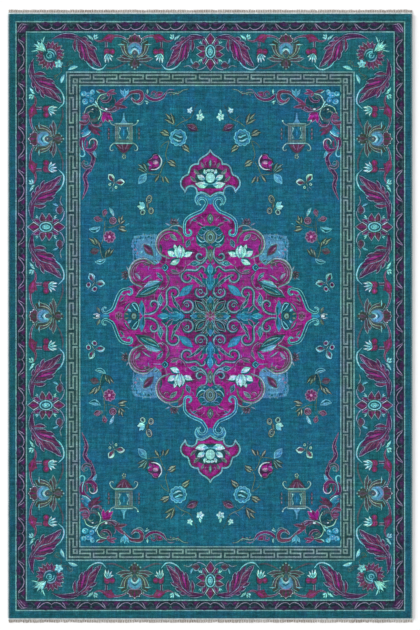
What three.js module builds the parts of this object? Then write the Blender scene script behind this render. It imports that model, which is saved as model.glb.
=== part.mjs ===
// A machine-woven chenille rug with overcast side edges and a short tassel fringe at each end.
//
// Frame: millimetres, +Z up. X runs across the rug's width, Y along its length, and the origin
// is on the floor under the rug's middle. The rug lies flat and rests on its whole underside.

import * as THREE from "three";

// Driving dimensions, in millimetres.
const RUG_WIDTH = 2000; // over both overcast edges
const RUG_LENGTH = 2990; // woven cloth alone, without the fringes
const CLOTH_THICKNESS = 5; // ground weave and chenille pile together
const PILE_BEVEL = 1.2; // the pile leans over at the long edges
const EDGE_CORD_WIDTH = 8; // the overcast edge, seen from above
const EDGE_CORD_HEIGHT = 5.6;
const FRINGE_REACH = 24; // header and longest tassel together
const HEADER_DEPTH = 6; // the stitched strip that holds the warp ends
const FRINGE_THICKNESS = 2.4;
const TASSEL_COUNT = 160; // tassels along one end
const CLEARANCE = 0.3; // between neighbouring pieces

// Proportions of the fringe.
const TASSEL_ROOT_SHARE = 0.78; // of one pitch that a tassel fills at the header
const TASSEL_TIP_SHARE = 0.5; // of one pitch that it fills at its tip
const SHORTEST_TASSEL = 0.72; // as a share of the longest
const TASSEL_LEAN = 1.6; // furthest that a tip leans to one side
const WOBBLE_WAVES = [
  { share: 0.6, step: 1.93, delay: 1 },
  { share: 0.4, step: 0.61, delay: 2 },
];
const LENGTH_PHASE = 0.4; // where the wobble of the tassels' lengths starts
const LEAN_PHASE = 1.7; // where the wobble of their lean starts

// Proportions of the overcast edge's section.
const CORD_FOOT_SHARE = 0.8; // of its width that is flat underneath
const CORD_SHOULDER_SHARE = 0.35; // of its height below the round top
const CORD_ARC_STEPS = 8; // segments round the top

const chenille = new THREE.MeshStandardMaterial({ color: 0x2a6a7c, roughness: 0.95, metalness: 0 });
const edgeThread = new THREE.MeshStandardMaterial({ color: 0x1c5260, roughness: 0.9, metalness: 0 });
const fringeYarn = new THREE.MeshStandardMaterial({ color: 0xd2c8bd, roughness: 0.95, metalness: 0 });

// A solid with one section along its whole length. The section is drawn as (x, z) and runs
// along Y, centred on the origin.
function runAlongLength(section, length) {
  const geometry = new THREE.ExtrudeGeometry(section, { depth: length, bevelEnabled: false });
  geometry.rotateX(Math.PI / 2);
  geometry.translate(0, length / 2, 0);
  return geometry;
}

// The cloth: one flat plate whose pile leans over at both long edges.
function clothGeometry() {
  const half = RUG_WIDTH / 2 - EDGE_CORD_WIDTH - CLEARANCE;
  const section = new THREE.Shape();
  section.moveTo(-half, 0);
  section.lineTo(half, 0);
  section.lineTo(half, CLOTH_THICKNESS - PILE_BEVEL);
  section.lineTo(half - PILE_BEVEL, CLOTH_THICKNESS);
  section.lineTo(-half + PILE_BEVEL, CLOTH_THICKNESS);
  section.lineTo(-half, CLOTH_THICKNESS - PILE_BEVEL);
  section.closePath();
  return runAlongLength(section, RUG_LENGTH);
}

// One overcast edge: flat underneath and round on top, its middle on the local origin.
function edgeCordGeometry() {
  const half = EDGE_CORD_WIDTH / 2;
  const foot = half * CORD_FOOT_SHARE;
  const shoulder = EDGE_CORD_HEIGHT * CORD_SHOULDER_SHARE;
  const section = new THREE.Shape();
  section.moveTo(-foot, 0);
  section.lineTo(foot, 0);
  for (let step = 0; step <= CORD_ARC_STEPS; step += 1) {
    const angle = (Math.PI * step) / CORD_ARC_STEPS;
    const rise = (EDGE_CORD_HEIGHT - shoulder) * Math.sin(angle);
    section.lineTo(half * Math.cos(angle), shoulder + rise);
  }
  section.closePath();
  return runAlongLength(section, RUG_LENGTH);
}

// A wobble between -1 and 1 that has no short repeat, for the tassel with this index.
function wobble(index, phase) {
  let sum = 0;
  for (const wave of WOBBLE_WAVES) {
    sum += wave.share * Math.sin(index * wave.step + phase * wave.delay);
  }
  return sum;
}

// One fringe: a comb whose back is the header. The header's outer line is on the local X axis
// and the tassels point along +Y.
function fringeGeometry() {
  const pitch = RUG_WIDTH / TASSEL_COUNT;
  const longest = FRINGE_REACH - HEADER_DEPTH;
  const comb = new THREE.Shape();
  comb.moveTo(-RUG_WIDTH / 2, -HEADER_DEPTH + CLEARANCE);
  comb.lineTo(RUG_WIDTH / 2, -HEADER_DEPTH + CLEARANCE);
  comb.lineTo(RUG_WIDTH / 2, 0);
  for (let index = TASSEL_COUNT - 1; index >= 0; index -= 1) {
    const middle = -RUG_WIDTH / 2 + (index + 0.5) * pitch;
    const shortening = ((1 - SHORTEST_TASSEL) * (1 + wobble(index, LENGTH_PHASE))) / 2;
    const isOuter = index === 0 || index === TASSEL_COUNT - 1;
    const lean = isOuter ? 0 : TASSEL_LEAN * wobble(index, LEAN_PHASE);
    const reach = isOuter ? longest : longest * (1 - shortening);
    comb.lineTo(middle + (pitch * TASSEL_ROOT_SHARE) / 2, 0);
    comb.lineTo(middle + lean + (pitch * TASSEL_TIP_SHARE) / 2, reach);
    comb.lineTo(middle + lean - (pitch * TASSEL_TIP_SHARE) / 2, reach);
    comb.lineTo(middle - (pitch * TASSEL_ROOT_SHARE) / 2, 0);
  }
  comb.lineTo(-RUG_WIDTH / 2, 0);
  comb.closePath();
  return new THREE.ExtrudeGeometry(comb, { depth: FRINGE_THICKNESS, bevelEnabled: false });
}

function piece(name, geometry, material) {
  const mesh = new THREE.Mesh(geometry, material);
  mesh.name = name;
  return mesh;
}

const rug = new THREE.Group();
rug.name = "chenille_rug";
rug.add(piece("rug_cloth", clothGeometry(), chenille));

const edgeCord = edgeCordGeometry();
for (const [name, side] of [["edge_cord_left", -1], ["edge_cord_right", 1]]) {
  const cord = piece(name, edgeCord, edgeThread);
  cord.position.x = side * (RUG_WIDTH / 2 - EDGE_CORD_WIDTH / 2);
  rug.add(cord);
}

const fringe = fringeGeometry();
const headerLine = RUG_LENGTH / 2 + HEADER_DEPTH;
for (const [name, end] of [["fringe_far", 1], ["fringe_near", -1]]) {
  const comb = piece(name, fringe, fringeYarn);
  comb.position.y = end * headerLine;
  comb.rotation.z = end > 0 ? 0 : Math.PI;
  rug.add(comb);
}

export default rug;
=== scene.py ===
"""A chenille rug, 2.0 m by 3.0 m, laid flat and seen from straight above.

The top is a chart of woven motifs, drawn below as outlines in millimetres for one quarter
of the rug, because the pattern is the same in all four. The chart becomes one flat map of
triangles, and each keeps the colour of the yarn that shows there. The edge binding and the fringe
are real thread.
"""
import math
import random
from contextlib import contextmanager

import bmesh
import bpy
import numpy as np
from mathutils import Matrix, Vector
from mathutils.geometry import delaunay_2d_cdt

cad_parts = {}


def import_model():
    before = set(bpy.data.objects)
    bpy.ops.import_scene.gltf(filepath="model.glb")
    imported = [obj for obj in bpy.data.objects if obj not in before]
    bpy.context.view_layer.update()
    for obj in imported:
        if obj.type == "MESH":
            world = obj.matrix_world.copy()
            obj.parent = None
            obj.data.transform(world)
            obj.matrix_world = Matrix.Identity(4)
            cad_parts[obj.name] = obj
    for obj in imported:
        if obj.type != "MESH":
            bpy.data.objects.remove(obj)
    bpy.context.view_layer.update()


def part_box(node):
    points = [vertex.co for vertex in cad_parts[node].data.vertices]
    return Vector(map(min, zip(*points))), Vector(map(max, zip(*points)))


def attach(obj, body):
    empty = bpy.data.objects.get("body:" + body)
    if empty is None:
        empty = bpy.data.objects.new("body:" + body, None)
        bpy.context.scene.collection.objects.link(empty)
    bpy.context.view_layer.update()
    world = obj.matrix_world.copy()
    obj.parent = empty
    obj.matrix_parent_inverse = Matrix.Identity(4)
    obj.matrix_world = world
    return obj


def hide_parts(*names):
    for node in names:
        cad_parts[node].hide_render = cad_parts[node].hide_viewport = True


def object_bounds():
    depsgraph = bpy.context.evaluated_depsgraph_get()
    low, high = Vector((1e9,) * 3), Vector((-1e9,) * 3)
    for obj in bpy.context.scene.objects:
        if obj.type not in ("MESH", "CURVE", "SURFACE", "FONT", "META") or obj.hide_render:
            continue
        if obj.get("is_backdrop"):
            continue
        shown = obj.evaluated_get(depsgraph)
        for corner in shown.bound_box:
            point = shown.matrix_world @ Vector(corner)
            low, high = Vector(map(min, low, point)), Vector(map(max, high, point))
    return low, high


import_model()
SCENE = bpy.context.scene

# everything below is in millimetres, but for the camera, the lights and the looks
MM = 0.001
CHORD = 0.7          # a curve's point this near the straight line past it is dropped
STEP = 3.0           # spacing of a curve's points before that
ROUNDED = 3.0        # width from which a line's ends are round
MITER = 1.6          # most that a line widens in a sharp bend, as a multiple of its width
MEET = 0.05          # corners of the chart nearer than this are one
NEAR = 0.01          # the same for the seams, once they are drawn straight
SMOOTHING = 0.5      # a corner of a seam this near the straight line past it is dropped
LEAN = 1.3           # how far the pile's rim leans in above its widest ring, and the foot below it
WRAP_PITCH = 3.4     # of the binding thread's turns
STITCH_PITCH = 3.1   # of the stitches over the fringe's header
HEADER = 5.8         # width of the fringe's woven header
TASSELS = 170        # along one end
STRANDS = 6          # in one tassel
TAPER = (0.82, 0.84, 0.82, 0.78, 0.72, 0.6, 0.3)     # a strand's radius, from root to frayed end
PLY = 9              # radians that a strand winds along its length
SKY = 0.46           # strength of the white surroundings
RAKING = 6.0         # and of the low light from the left, and the higher one opposite
FILLING = 1.35


# ---------------------------------------------------------------- camera
def add_camera():
    """Straight above the rug, far enough off for almost no perspective."""
    data = bpy.data.cameras.new("camera")
    camera = bpy.data.objects.new("camera", data)
    SCENE.collection.objects.link(camera)
    SCENE.camera = camera
    height = 14.0
    in_view = 3.1179                     # metres of floor along the picture's long side
    off_centre = (-0.0015, 0.0054)       # the rug lies almost in the picture's middle
    data.lens = data.sensor_width * height / in_view
    data.clip_end = 100.0
    camera.location = (*off_centre, height)


add_camera()


# ---------------------------------------------------------------- drawing the chart
layers = []          # (yarn, outline) in the order of painting, from the rug's middle
frames = [((0, 0), (1, 0), (0, 1))]     # the frames that motifs are drawn in, innermost last


@contextmanager
def placed(origin, along=(1, 0), across=(0, 1)):
    """Draw in a frame of its own: (u, v) becomes origin + u * along + v * across."""
    (ox, oy), (ax, ay), (bx, by) = frames[-1]

    def world(v):
        return (v[0] * ax + v[1] * bx, v[0] * ay + v[1] * by)

    start = world(origin)
    frames.append(((ox + start[0], oy + start[1]), world(along), world(across)))
    yield
    frames.pop()


def turned(origin, degrees, size=1.0, flip=1):
    a = math.radians(degrees)
    along = (size * math.cos(a), size * math.sin(a))
    across = (-flip * size * math.sin(a), flip * size * math.cos(a))
    return placed(origin, along, across)


def put(yarn, outline):
    (ox, oy), (ax, ay), (bx, by) = frames[-1]
    layers.append((yarn, [(ox + x * ax + y * bx, oy + x * ay + y * by) for x, y in outline]))


# ---------------------------------------------------------------- curves
def spline(points, closed=False):
    """A smooth curve through the points; a third value in a point makes a sharp corner there."""
    pts = [(p[0], p[1]) for p in points]
    sharp = [len(p) > 2 for p in points]
    count = len(pts)
    out = []
    for i in range(count if closed else count - 1):
        j = (i + 1) % count
        a, b = pts[i], pts[j]
        before = pts[i - 1] if (closed or i > 0) and not sharp[i] else None
        after = pts[(j + 1) % count] if (closed or j + 1 < count) and not sharp[j] else None
        root = math.sqrt(math.dist(a, b)) or 1e-3
        m1 = slope(before, a, b, root) if before else (b[0] - a[0], b[1] - a[1])
        m2 = slope(a, b, after, root) if after else (b[0] - a[0], b[1] - a[1])
        straight = not before and not after
        steps = 1 if straight else max(3, min(30, int(root * root / STEP)))
        for k in range(steps):
            out.append(hermite(a, b, m1, m2, k / steps))
    if not closed:
        out.append(pts[-1])
    return thinned(out, closed)


def slope(a, b, c, span):
    """The tangent at b for a span of this root length; near neighbours count more."""
    r1 = math.sqrt(math.dist(a, b)) or 1e-3
    r2 = math.sqrt(math.dist(b, c)) or 1e-3
    return tuple(span * ((b[k] - a[k]) / r1 - (c[k] - a[k]) / (r1 + r2) + (c[k] - b[k]) / r2)
                 for k in (0, 1))


def hermite(a, b, m1, m2, t):
    h1, h2 = 2 * t**3 - 3 * t**2 + 1, t**3 - 2 * t**2 + t
    h3, h4 = 3 * t**2 - 2 * t**3, t**3 - t**2
    return tuple(h1 * a[k] + h2 * m1[k] + h3 * b[k] + h4 * m2[k] for k in (0, 1))


def thinned(points, closed):
    """Drop the points that the curve doesn't need."""
    if closed:
        far = max(range(len(points)), key=lambda i: math.dist(points[0], points[i]))
        first = thinned(points[:far + 1], False)
        second = thinned(points[far:] + points[:1], False)
        return first[:-1] + second[:-1]
    keep = [0]

    def split(i, j):
        (ax, ay), (bx, by) = points[i], points[j]
        length = math.hypot(bx - ax, by - ay) or 1e-9
        worst, at = 0.0, None
        for k in range(i + 1, j):
            px, py = points[k]
            off = abs((bx - ax) * (py - ay) - (by - ay) * (px - ax)) / length
            if length < 1e-6:
                off = math.hypot(px - ax, py - ay)
            if off > worst:
                worst, at = off, k
        if at is not None and worst > CHORD:
            split(i, at)
            split(at, j)
        else:
            keep.append(j)

    split(0, len(points) - 1)
    return [points[i] for i in keep]


def spiral(centre, r_outer, r_inner, a_start, a_end):
    """Points on a spiral, angles in degrees."""
    count = max(4, int(abs(a_end - a_start) / 40))
    out = []
    for i in range(count + 1):
        t = i / count
        r = r_outer + (r_inner - r_outer) * t
        a = math.radians(a_start + (a_end - a_start) * t)
        out.append((centre[0] + r * math.cos(a), centre[1] + r * math.sin(a)))
    return out


def joined(*pieces):
    """Curves end to end, with a sharp corner where each begins."""
    return [point for piece in pieces for point in [(*piece[0][:2], 1)] + list(piece[1:])]


# ---------------------------------------------------------------- strokes and shapes
def stroke(path, width, closed=False):
    """The outline of a line of this width, or of widths spaced evenly along it."""
    widths = (width, width) if isinstance(width, (int, float)) else width
    path = [p for i, p in enumerate(path) if i == 0 or math.dist(p, path[i - 1]) > 1e-3]
    reach = [0.0]
    for p, q in zip(path, path[1:]):
        reach.append(reach[-1] + math.dist(p, q))
    left, right = [], []
    count = len(path)
    for i, (x, y) in enumerate(path):
        before = path[i - 1] if i or closed else None
        after = path[(i + 1) % count] if i + 1 < count or closed else None
        d1 = unit(before, (x, y)) if before else unit((x, y), after)
        d2 = unit((x, y), after) if after else d1
        nx, ny = -(d1[1] + d2[1]), d1[0] + d2[0]
        size = math.hypot(nx, ny) or 1.0
        miter = min(MITER, 2.0 / size)
        t = reach[i] / reach[-1] * (len(widths) - 1)
        k = min(int(t), len(widths) - 2)
        half = 0.5 * (widths[k] + (widths[k + 1] - widths[k]) * (t - k)) * miter
        left.append((x + nx / size * half, y + ny / size * half))
        right.append((x - nx / size * half, y - ny / size * half))
    if closed:
        return [left, right[::-1]]
    return [left + cap(path[-1], path[-2], widths[-1]) + right[::-1]
            + cap(path[0], path[1], widths[0])]


def unit(a, b):
    d = math.dist(a, b) or 1e-9
    return ((b[0] - a[0]) / d, (b[1] - a[1]) / d)


def cap(end, inner, width):
    """A round end on a line that is wide enough to show one."""
    if width < ROUNDED:
        return []
    dx, dy = unit(inner, end)
    r = width / 2
    s = 0.7 * r      # a point halfway round the quarter circle
    return [(end[0] + dx * s - dy * s, end[1] + dy * s + dx * s),
            (end[0] + dx * r, end[1] + dy * r),
            (end[0] + dx * s + dy * s, end[1] + dy * s - dx * s)]


def line(yarn, points, width, closed=False):
    path = spline(points, closed)
    if closed:
        outer, inner = stroke(path, width, True)
        put(yarn, outer + outer[:1] + inner + inner[:1])
    else:
        put(yarn, stroke(path, width)[0])


def coats(points, *rows):
    """Lines along the same points, one over another, from rows of yarn and width."""
    for yarn, width in rows:
        line(yarn, points, width)


def double(edge, core, points, width, rim):
    """A band of one yarn with a thin rim of another on each side."""
    line(edge, points, width)
    line(core, points, tuple(max(0.4, w - 2 * rim) for w in width))


def shape(yarn, points, edge=None, rim=3.0):
    """A smooth closed shape, with a rim of another yarn along its outline."""
    put(yarn, spline(points, True))
    if edge:
        line(edge, points, rim, True)


def disc(yarn, centre, rx, ry=None, turn=0.0):
    ry = ry or rx
    count = max(8, int(7 + max(rx, ry) / 3))
    a = math.radians(turn)
    out = []
    for i in range(count):
        t = 2 * math.pi * i / count
        u, v = rx * math.cos(t), ry * math.sin(t)
        out.append((centre[0] + u * math.cos(a) - v * math.sin(a),
                    centre[1] + u * math.sin(a) + v * math.cos(a)))
    put(yarn, out)


def leaf(yarn, base, tip, width, bend=0.0, edge=None, rim=3.0, fat=0.5, blunt=0.0,
         half=None, ribs=0, rib=None):
    """A leaf or petal from base to tip; bend bows its middle line, as a share of its length.

    edge is the yarn of a rim, half that of the side that turns from the light, and ribs are fine
    veins in yarn rib. fat is where along it the leaf is widest, and blunt keeps the tip wide.
    """
    (x0, y0), (x1, y1) = base, tip
    length = math.dist(base, tip)
    ux, uy = (x1 - x0) / length, (y1 - y0) / length
    mid = ((x0 + x1) / 2 - uy * bend * length, (y0 + y1) / 2 + ux * bend * length)
    steps = max(5, int(length / 7))
    spine, wide = [], []
    power = math.log(0.5) / math.log(fat)
    for i in range(steps + 1):
        t = i / steps
        a, b, c = (1 - t)**2, 2 * t * (1 - t), t * t
        spine.append((a * x0 + b * mid[0] + c * x1, a * y0 + b * mid[1] + c * y1))
        wide.append(max(math.sin(math.pi * t**power), blunt * t) * width / 2)

    def sides(extra):
        left, right = [], []
        for i, (x, y) in enumerate(spine):
            dx, dy = unit(spine[max(i - 1, 0)], spine[min(i + 1, steps)])
            w = wide[i] + (extra if 0 < i < steps or blunt else extra * 0.3)
            shift = extra if i == steps else (-extra if i == 0 else 0)
            left.append((x - dy * w + dx * shift, y + dx * w + dy * shift))
            right.append((x + dy * w + dx * shift, y - dx * w + dy * shift))
        return left, right

    if edge:
        left, right = sides(rim)
        put(edge, thinned(left, False) + thinned(right, False)[::-1])
    left, right = sides(0)
    put(yarn, thinned(left, False) + thinned(right, False)[::-1])
    if half:
        put(half, thinned(right, False) + thinned(spine, False)[::-1])
    for k in range(ribs):
        t = 0.12 + 0.66 * k / max(ribs, 1)
        i, j = int(t * steps), min(int((t + 0.2) * steps + 0.5), steps - 1)
        for side in (left, right):
            (px, py), (qx, qy) = spine[i], side[j]
            end = (spine[j][0] + (qx - spine[j][0]) * 0.8, spine[j][1] + (qy - spine[j][1]) * 0.8)
            put(rib, stroke([(px, py), end], (1.7, 0.9))[0])


def blades(rows, yarn="aqua", half="mint", ground="deep", halo=5):
    """Pale leaves, each on a darker one, from rows of base, tip, width and bend."""
    for base, tip, width, bend in rows:
        leaf(ground, base, tip, width + halo, bend=bend)
        leaf(yarn, base, tip, width, bend=bend, half=half)


def leaves(*rows, **look):
    """Leaves from rows of yarn, base, tip and width, and of bend where they bow."""
    for row in rows:
        leaf(*row, **look)


def lines(*rows):
    """Lines from rows of yarn, points and width."""
    for row in rows:
        line(*row)


def discs(*rows):
    """Discs from rows of yarn, middle and the two radii, and of turn in degrees."""
    for row in rows:
        disc(*row)


def beside(path, shift):
    """The path moved to its left by this many millimetres."""
    out = []
    for i, (x, y) in enumerate(path):
        dx, dy = unit(path[max(i - 1, 0)], path[min(i + 1, len(path) - 1)])
        out.append((x - dy * shift, y + dx * shift))
    return out


def ribbon(points, width=10, side=1, pale="haze", core="teal", shade="night", light=None):
    """A scroll: a pale line on one side of a darker band, all with a dark edge."""
    path = spline(points)
    wide = width if isinstance(width, tuple) else [w * width for w in (0.55, 1, 1, 1, 0.9, 0.5)]
    put(shade, stroke(path, [w + 3.4 for w in wide])[0])
    put(core, stroke(path, wide)[0])
    put(pale, stroke(beside(path, side * 0.2 * max(wide)), [w * 0.56 for w in wide])[0])
    if light and len(path) > 6:
        put(light, stroke(beside(path, side * 0.28 * max(wide))[2:-2], [w * 0.14 for w in wide])[0])


def petals(yarn, centre, r_in, r_out, width, angles, **look):
    """Leaves that point outwards from a middle, at these angles in degrees."""
    for a in angles:
        c, s = math.cos(math.radians(a)), math.sin(math.radians(a))
        leaf(yarn, (centre[0] + r_in * c, centre[1] + r_in * s),
             (centre[0] + r_out * c, centre[1] + r_out * s), width, **look)


def fan(base, tips, rim="mauve", ground="deep", edge=2.4, halo=4.0, fat=0.56):
    """A leaf or flower of several points from one base; each tip is (x, y, width, yarn)."""
    for grow, yarn in ((edge + halo, ground), (edge, rim), (0, None)):
        for x, y, width, core in tips:
            far = math.dist(base, (x, y))
            reach = 1 + grow / far
            tip = (base[0] + (x - base[0]) * reach, base[1] + (y - base[1]) * reach)
            leaf(yarn or core, base, tip, width + 2 * grow, fat=fat)


def rect(yarn, x0, y0, x1, y1):
    put(yarn, [(x0, y0), (x1, y0), (x1, y1), (x0, y1)])


# ---------------------------------------------------------------- medallion
LOBES = (((332, 214), 72, -62, 146), ((196, 358), 74, -62, 118))     # middle, radius, angles
HORN = [(498, 14), (484, 34), (470, 66), (456, 102), (436, 128), (412, 142), (392, 150)]
FOOT = [(126, 466), (106, 490), (76, 506), (44, 520), (24, 542), (10, 566)]
MEDALLION = joined([(-9, -9), (505, -9)], HORN, *(spiral(c, r, r, a, b) for c, r, a, b in LOBES), FOOT,
                   [(-9, 566)])


def cornered(v):
    """Bulges a circle's sine or cosine towards a square's."""
    return math.copysign(abs(v)**0.55, v)


def medallion_ground():
    """The medallion's bright ground, and the patch that shows between its lobes."""
    # the blue patch between the lobes: a leaf, made squarer and ragged by strokes along its edge that
    # scatter with the fractions of 0.618 and 0.755 times their number
    leaf("steel", (236, 254), (378, 396), 172)
    for i in range(66):
        a, r = math.radians(150 * (0.618 * i % 1) - 38), 0.86 + 0.26 * (0.755 * i % 1)
        x, y = 308 + 72 * r * cornered(math.cos(a)), 326 + 70 * r * cornered(math.sin(a))
        yarn = ("field", "pool", "blue")[i % 3] if r < 0.96 else "steel"
        leaf(yarn, (x - 1.5, y - 7), (x + 1.5, y + 7), 7)
    for i in range(30):
        x, y = 266 + 22 * (i % 6) + 6 * math.sin(2.1 * i), 288 + 24 * (i // 6) + 7 * math.cos(1.7 * i)
        c, s = 8 * math.cos(2.4 * i), 8 * math.sin(2.4 * i)
        leaf(("blue", "sky", "azure", "mauve", "blue", "teal", "aqua")[i % 7], (x - c, y - s),
             (x + c, y + s), 5 + 3 * (i % 3), bend=0.2)
    for a in range(-30, 111, 28):
        with turned((318 + 64 * math.cos(math.radians(a)), 336 + 66 * math.sin(math.radians(a))), a + 90):
            leaf("sage" if a > 40 else "pool", (-9, 0), (9, 0), 5, bend=-0.2)
    leaf("slate", (279, 295), (333, 359), 40)
    leaf("plum", (284, 300), (328, 354), 30, half="maroon")
    leaf("crimson", (298, 312), (328, 348), 13)
    leaf("mauve", (306, 322), (328, 342), 6)
    line("haze", spiral((318, 336), 25, 25, 130, 0), (1.6, 4, 4.6, 4, 1.6))
    leaf("aqua", (334, 324), (348, 306), 8)
    # the bright ground
    shape("magenta", MEDALLION)
    disc("wine", (0, 0), 158)
    for x, y, rx, ry, turn, yarn in (
            (172, 170, 30, 44, -45, "orchid"), (172, 168, 16, 26, -45, "rose"),
            (320, 216, 46, 30, 30, "orchid"), (330, 214, 22, 14, 30, "rose"),
            (208, 352, 34, 28, 0, "orchid"), (204, 392, 20, 10, -20, "rose"),
            (70, 300, 40, 22, 50, "wine"), (112, 72, 14, 12, 0, "magenta"),
            (66, 112, 18, 14, 0, "magenta"), (128, 36, 12, 14, 0, "magenta"),
            (300, 90, 36, 12, 0, "wine"), (150, 240, 24, 10, 10, "wine"), (232, 156, 10, 30, 0, "wine"),
            (110, 452, 26, 16, -30, "wine"), (438, 64, 14, 34, 30, "wine"),
            (52, 486, 40, 10, -25, "wine"), (362, 128, 34, 10, 50, "wine"),
            (232, 290, 10, 30, 5, "wine"), (416, 84, 20, 10, -10, "rose"), (440, 34, 16, 12, 0, "rose"),
            (276, 246, 20, 8, 10, "rose"), (90, 470, 20, 8, -30, "rose")):
        disc(yarn, (x, y), rx, ry, turn)
    damask()


def damask():
    """Small curled strokes woven into the medallion's bright ground."""
    spots = [(18 + 34 * i + 17 * (j % 2), 20 + 30 * j) for j in range(17) for i in range(14)]
    spots = [(x, y) for x, y in spots if x / 480 + y / 520 < 0.92 and x + y > 120]
    for x, y, last in ((330, 214, 5.5), (204, 372, 0.9)):
        spots += [(x + 30 * math.cos(a), y + 30 * math.sin(a)) for a in (0.2, 1.3, 2.5, 4.4, last)]
    for i, (x, y) in enumerate(spots):
        with turned((x + 5 * math.sin(3.1 * i), y + 5 * math.cos(2.3 * i)), 67 * i, flip=1 - 2 * (i % 2)):
            line(("teal", "mauve", "wine", "steel", "plum")[i % 5], [(-9, 0), (0, 4), (8, 0), (6, -5)],
                 (1, 3.8, 2.8, 1))


def centre_rosette():
    """The rings of leaves and small flowers round the rug's middle."""
    shape("night", [(-9, -9, 1), (104, -9, 1), (98, 24), (84, 38), (82, 64), (66, 82), (40, 80),
                    (28, 94), (-9, 104, 1)])
    shape("slate", [(-9, -9, 1), (92, -9, 1), (84, 26), (66, 58), (34, 76), (-9, 92, 1)])
    for angle, flip in ((0, 1), (90, -1)):
        with turned((0, 0), angle, flip=flip):
            leaf("teal", (16, 0), (98, 0), 40, edge="aqua", rim=2.4, half="pool")
            leaf("blue", (60, 0), (98, 0), 18)
            leaf("ink", (30, 0), (66, 0), 15, edge="sage", rim=2)
            leaf("sage", (40, 0), (60, 0), 6)
            ribbon([(48, 20), (40, 36), (50, 46), (62, 38)], 7, pale="line")
            leaf("plum", (66, 20), (92, 40), 17, edge="mauve", rim=2.4, half="maroon")
            leaf("mauve", (70, 26), (86, 37), 4)
            leaf("pool", (84, 10), (98, 30), 12, edge="line", rim=1.8)
    leaf("plum", (20, 20), (74, 74), 34, edge="line", rim=3, half="night")
    leaf("teal", (30, 30), (64, 64), 15, edge="sage", rim=2, half="pool")
    for a, b in (((16, 44), (44, 86)), ((44, 16), (86, 44))):
        leaf("ink", a, b, 8, bend=0.18 if a[0] < 20 else -0.18, edge="line", rim=1.8)
    petals("mauve", (0, 0), 6, 30, 15, range(0, 360, 45), edge="sage", rim=2, half="crimson")
    petals("rose", (0, 0), 6, 20, 5, range(22, 382, 45))
    disc("sage", (0, 0), 9)
    disc("crimson", (0, 0), 5)


def arabesque():
    """The leaves and curls inside the medallion: pale lines on a darker ground."""
    for angle, flip in ((0, 1), (90, -1)):
        with turned((0, 0), angle, flip=flip):
            for base, tip, w, yarn in (((126, 0), (200, 0), 52, "blue"), ((176, 0), (262, 0), 40, "blue"),
                                       ((148, 6), (190, 42), 22, "teal"), ((204, 8), (240, 34), 18, "teal")):
                leaf(yarn, base, tip, w, edge="pool", rim=3, half=None if yarn == "blue" else "pool")
            leaves(("azure", (134, 0), (190, 0), 26), ("azure", (196, 0), (250, 0), 18))
            line("aqua", [(146, 8), (166, 20), (190, 18)], (1.5, 3, 1.5))
            line("aqua", [(206, 4), (228, 12), (250, 6)], (1.5, 3, 1.5))
            line("pool", [(152, 2), (176, 8), (214, 4)], (2, 4, 1.5))
    for points, turn in (
            (spiral((115, 53), 40, 24, -30, -330), -1), (spiral((50, 122), 38, 22, 150, 400), 1),
            ([(240, 26), (214, 58)] + spiral((180, 112), 38, 8, -25, 390), -1),
            (spiral((42, 230), 14, 14, 210, 20) + [(72, 224)] + spiral((112, 192), 38, 8, 115, -290), 1),
            (spiral((310, 68), 58, 58, -75, -175), 1), (spiral((282, 56), 28, 9, -115, -420), 1),
            (spiral((76, 312), 62, 62, -100, -215), -1), (spiral((52, 296), 22, 8, 195, 520), -1)):
        ribbon(points, 12, turn, light="line")
    for centre in ((116, 53), (48, 120)):
        ribbon(spiral(centre, 15, 5, 0, 400), (2, 6, 6, 6, 3))
    for centre in ((182, 112), (282, 57), (112, 192), (52, 297)):
        disc("night", centre, 4)
    leaf("azure", (86, 154), (154, 98), 36, edge="pool", rim=3, half="blue", ribs=4, rib="sky")
    line("sky", [(92, 149), (120, 130), (148, 102)], (1.5, 2.5, 1.5))
    for a, b, w, bend in (
            ((146, 26), (176, 78), 15, -0.08), ((160, 40), (186, 96), 13, -0.1),
            ((170, 70), (192, 112), 9, -0.1), ((184, 16), (216, 56), 15, -0.1),
            ((26, 144), (80, 182), 15, 0.08), ((40, 158), (98, 196), 13, 0.1),
            ((70, 178), (112, 204), 9, 0.1), ((36, 188), (50, 214), 12, -0.1)):
        leaf("teal", a, b, w, bend=bend, edge="haze", rim=2.2, half="ink")
    for base, tip, end in (((247, 52), (247, 108), (240, 118)), ((52, 264), (102, 257), (114, 250))):
        leaf("teal", base, tip, 23, edge="haze", rim=3, half="pool", ribs=4, rib="aqua")
        line("haze", [tip, end], (5, 2))
    line("mauve", [(276, 80), (278, 112)], (2, 4))
    for centre, start, end, turn in (((172, 262), 195, 300, 1), ((258, 178), 250, 130, -1)):
        ribbon(spiral(centre, 54, 54, start, end), 8, turn, pale="mauve", core="wine", shade="ink")
    leaves(("slate", (160, 220), (196, 230), 12, -0.15), ("slate", (206, 172), (218, 206), 12, 0.15),
           edge="mauve", rim=1.8)


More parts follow.
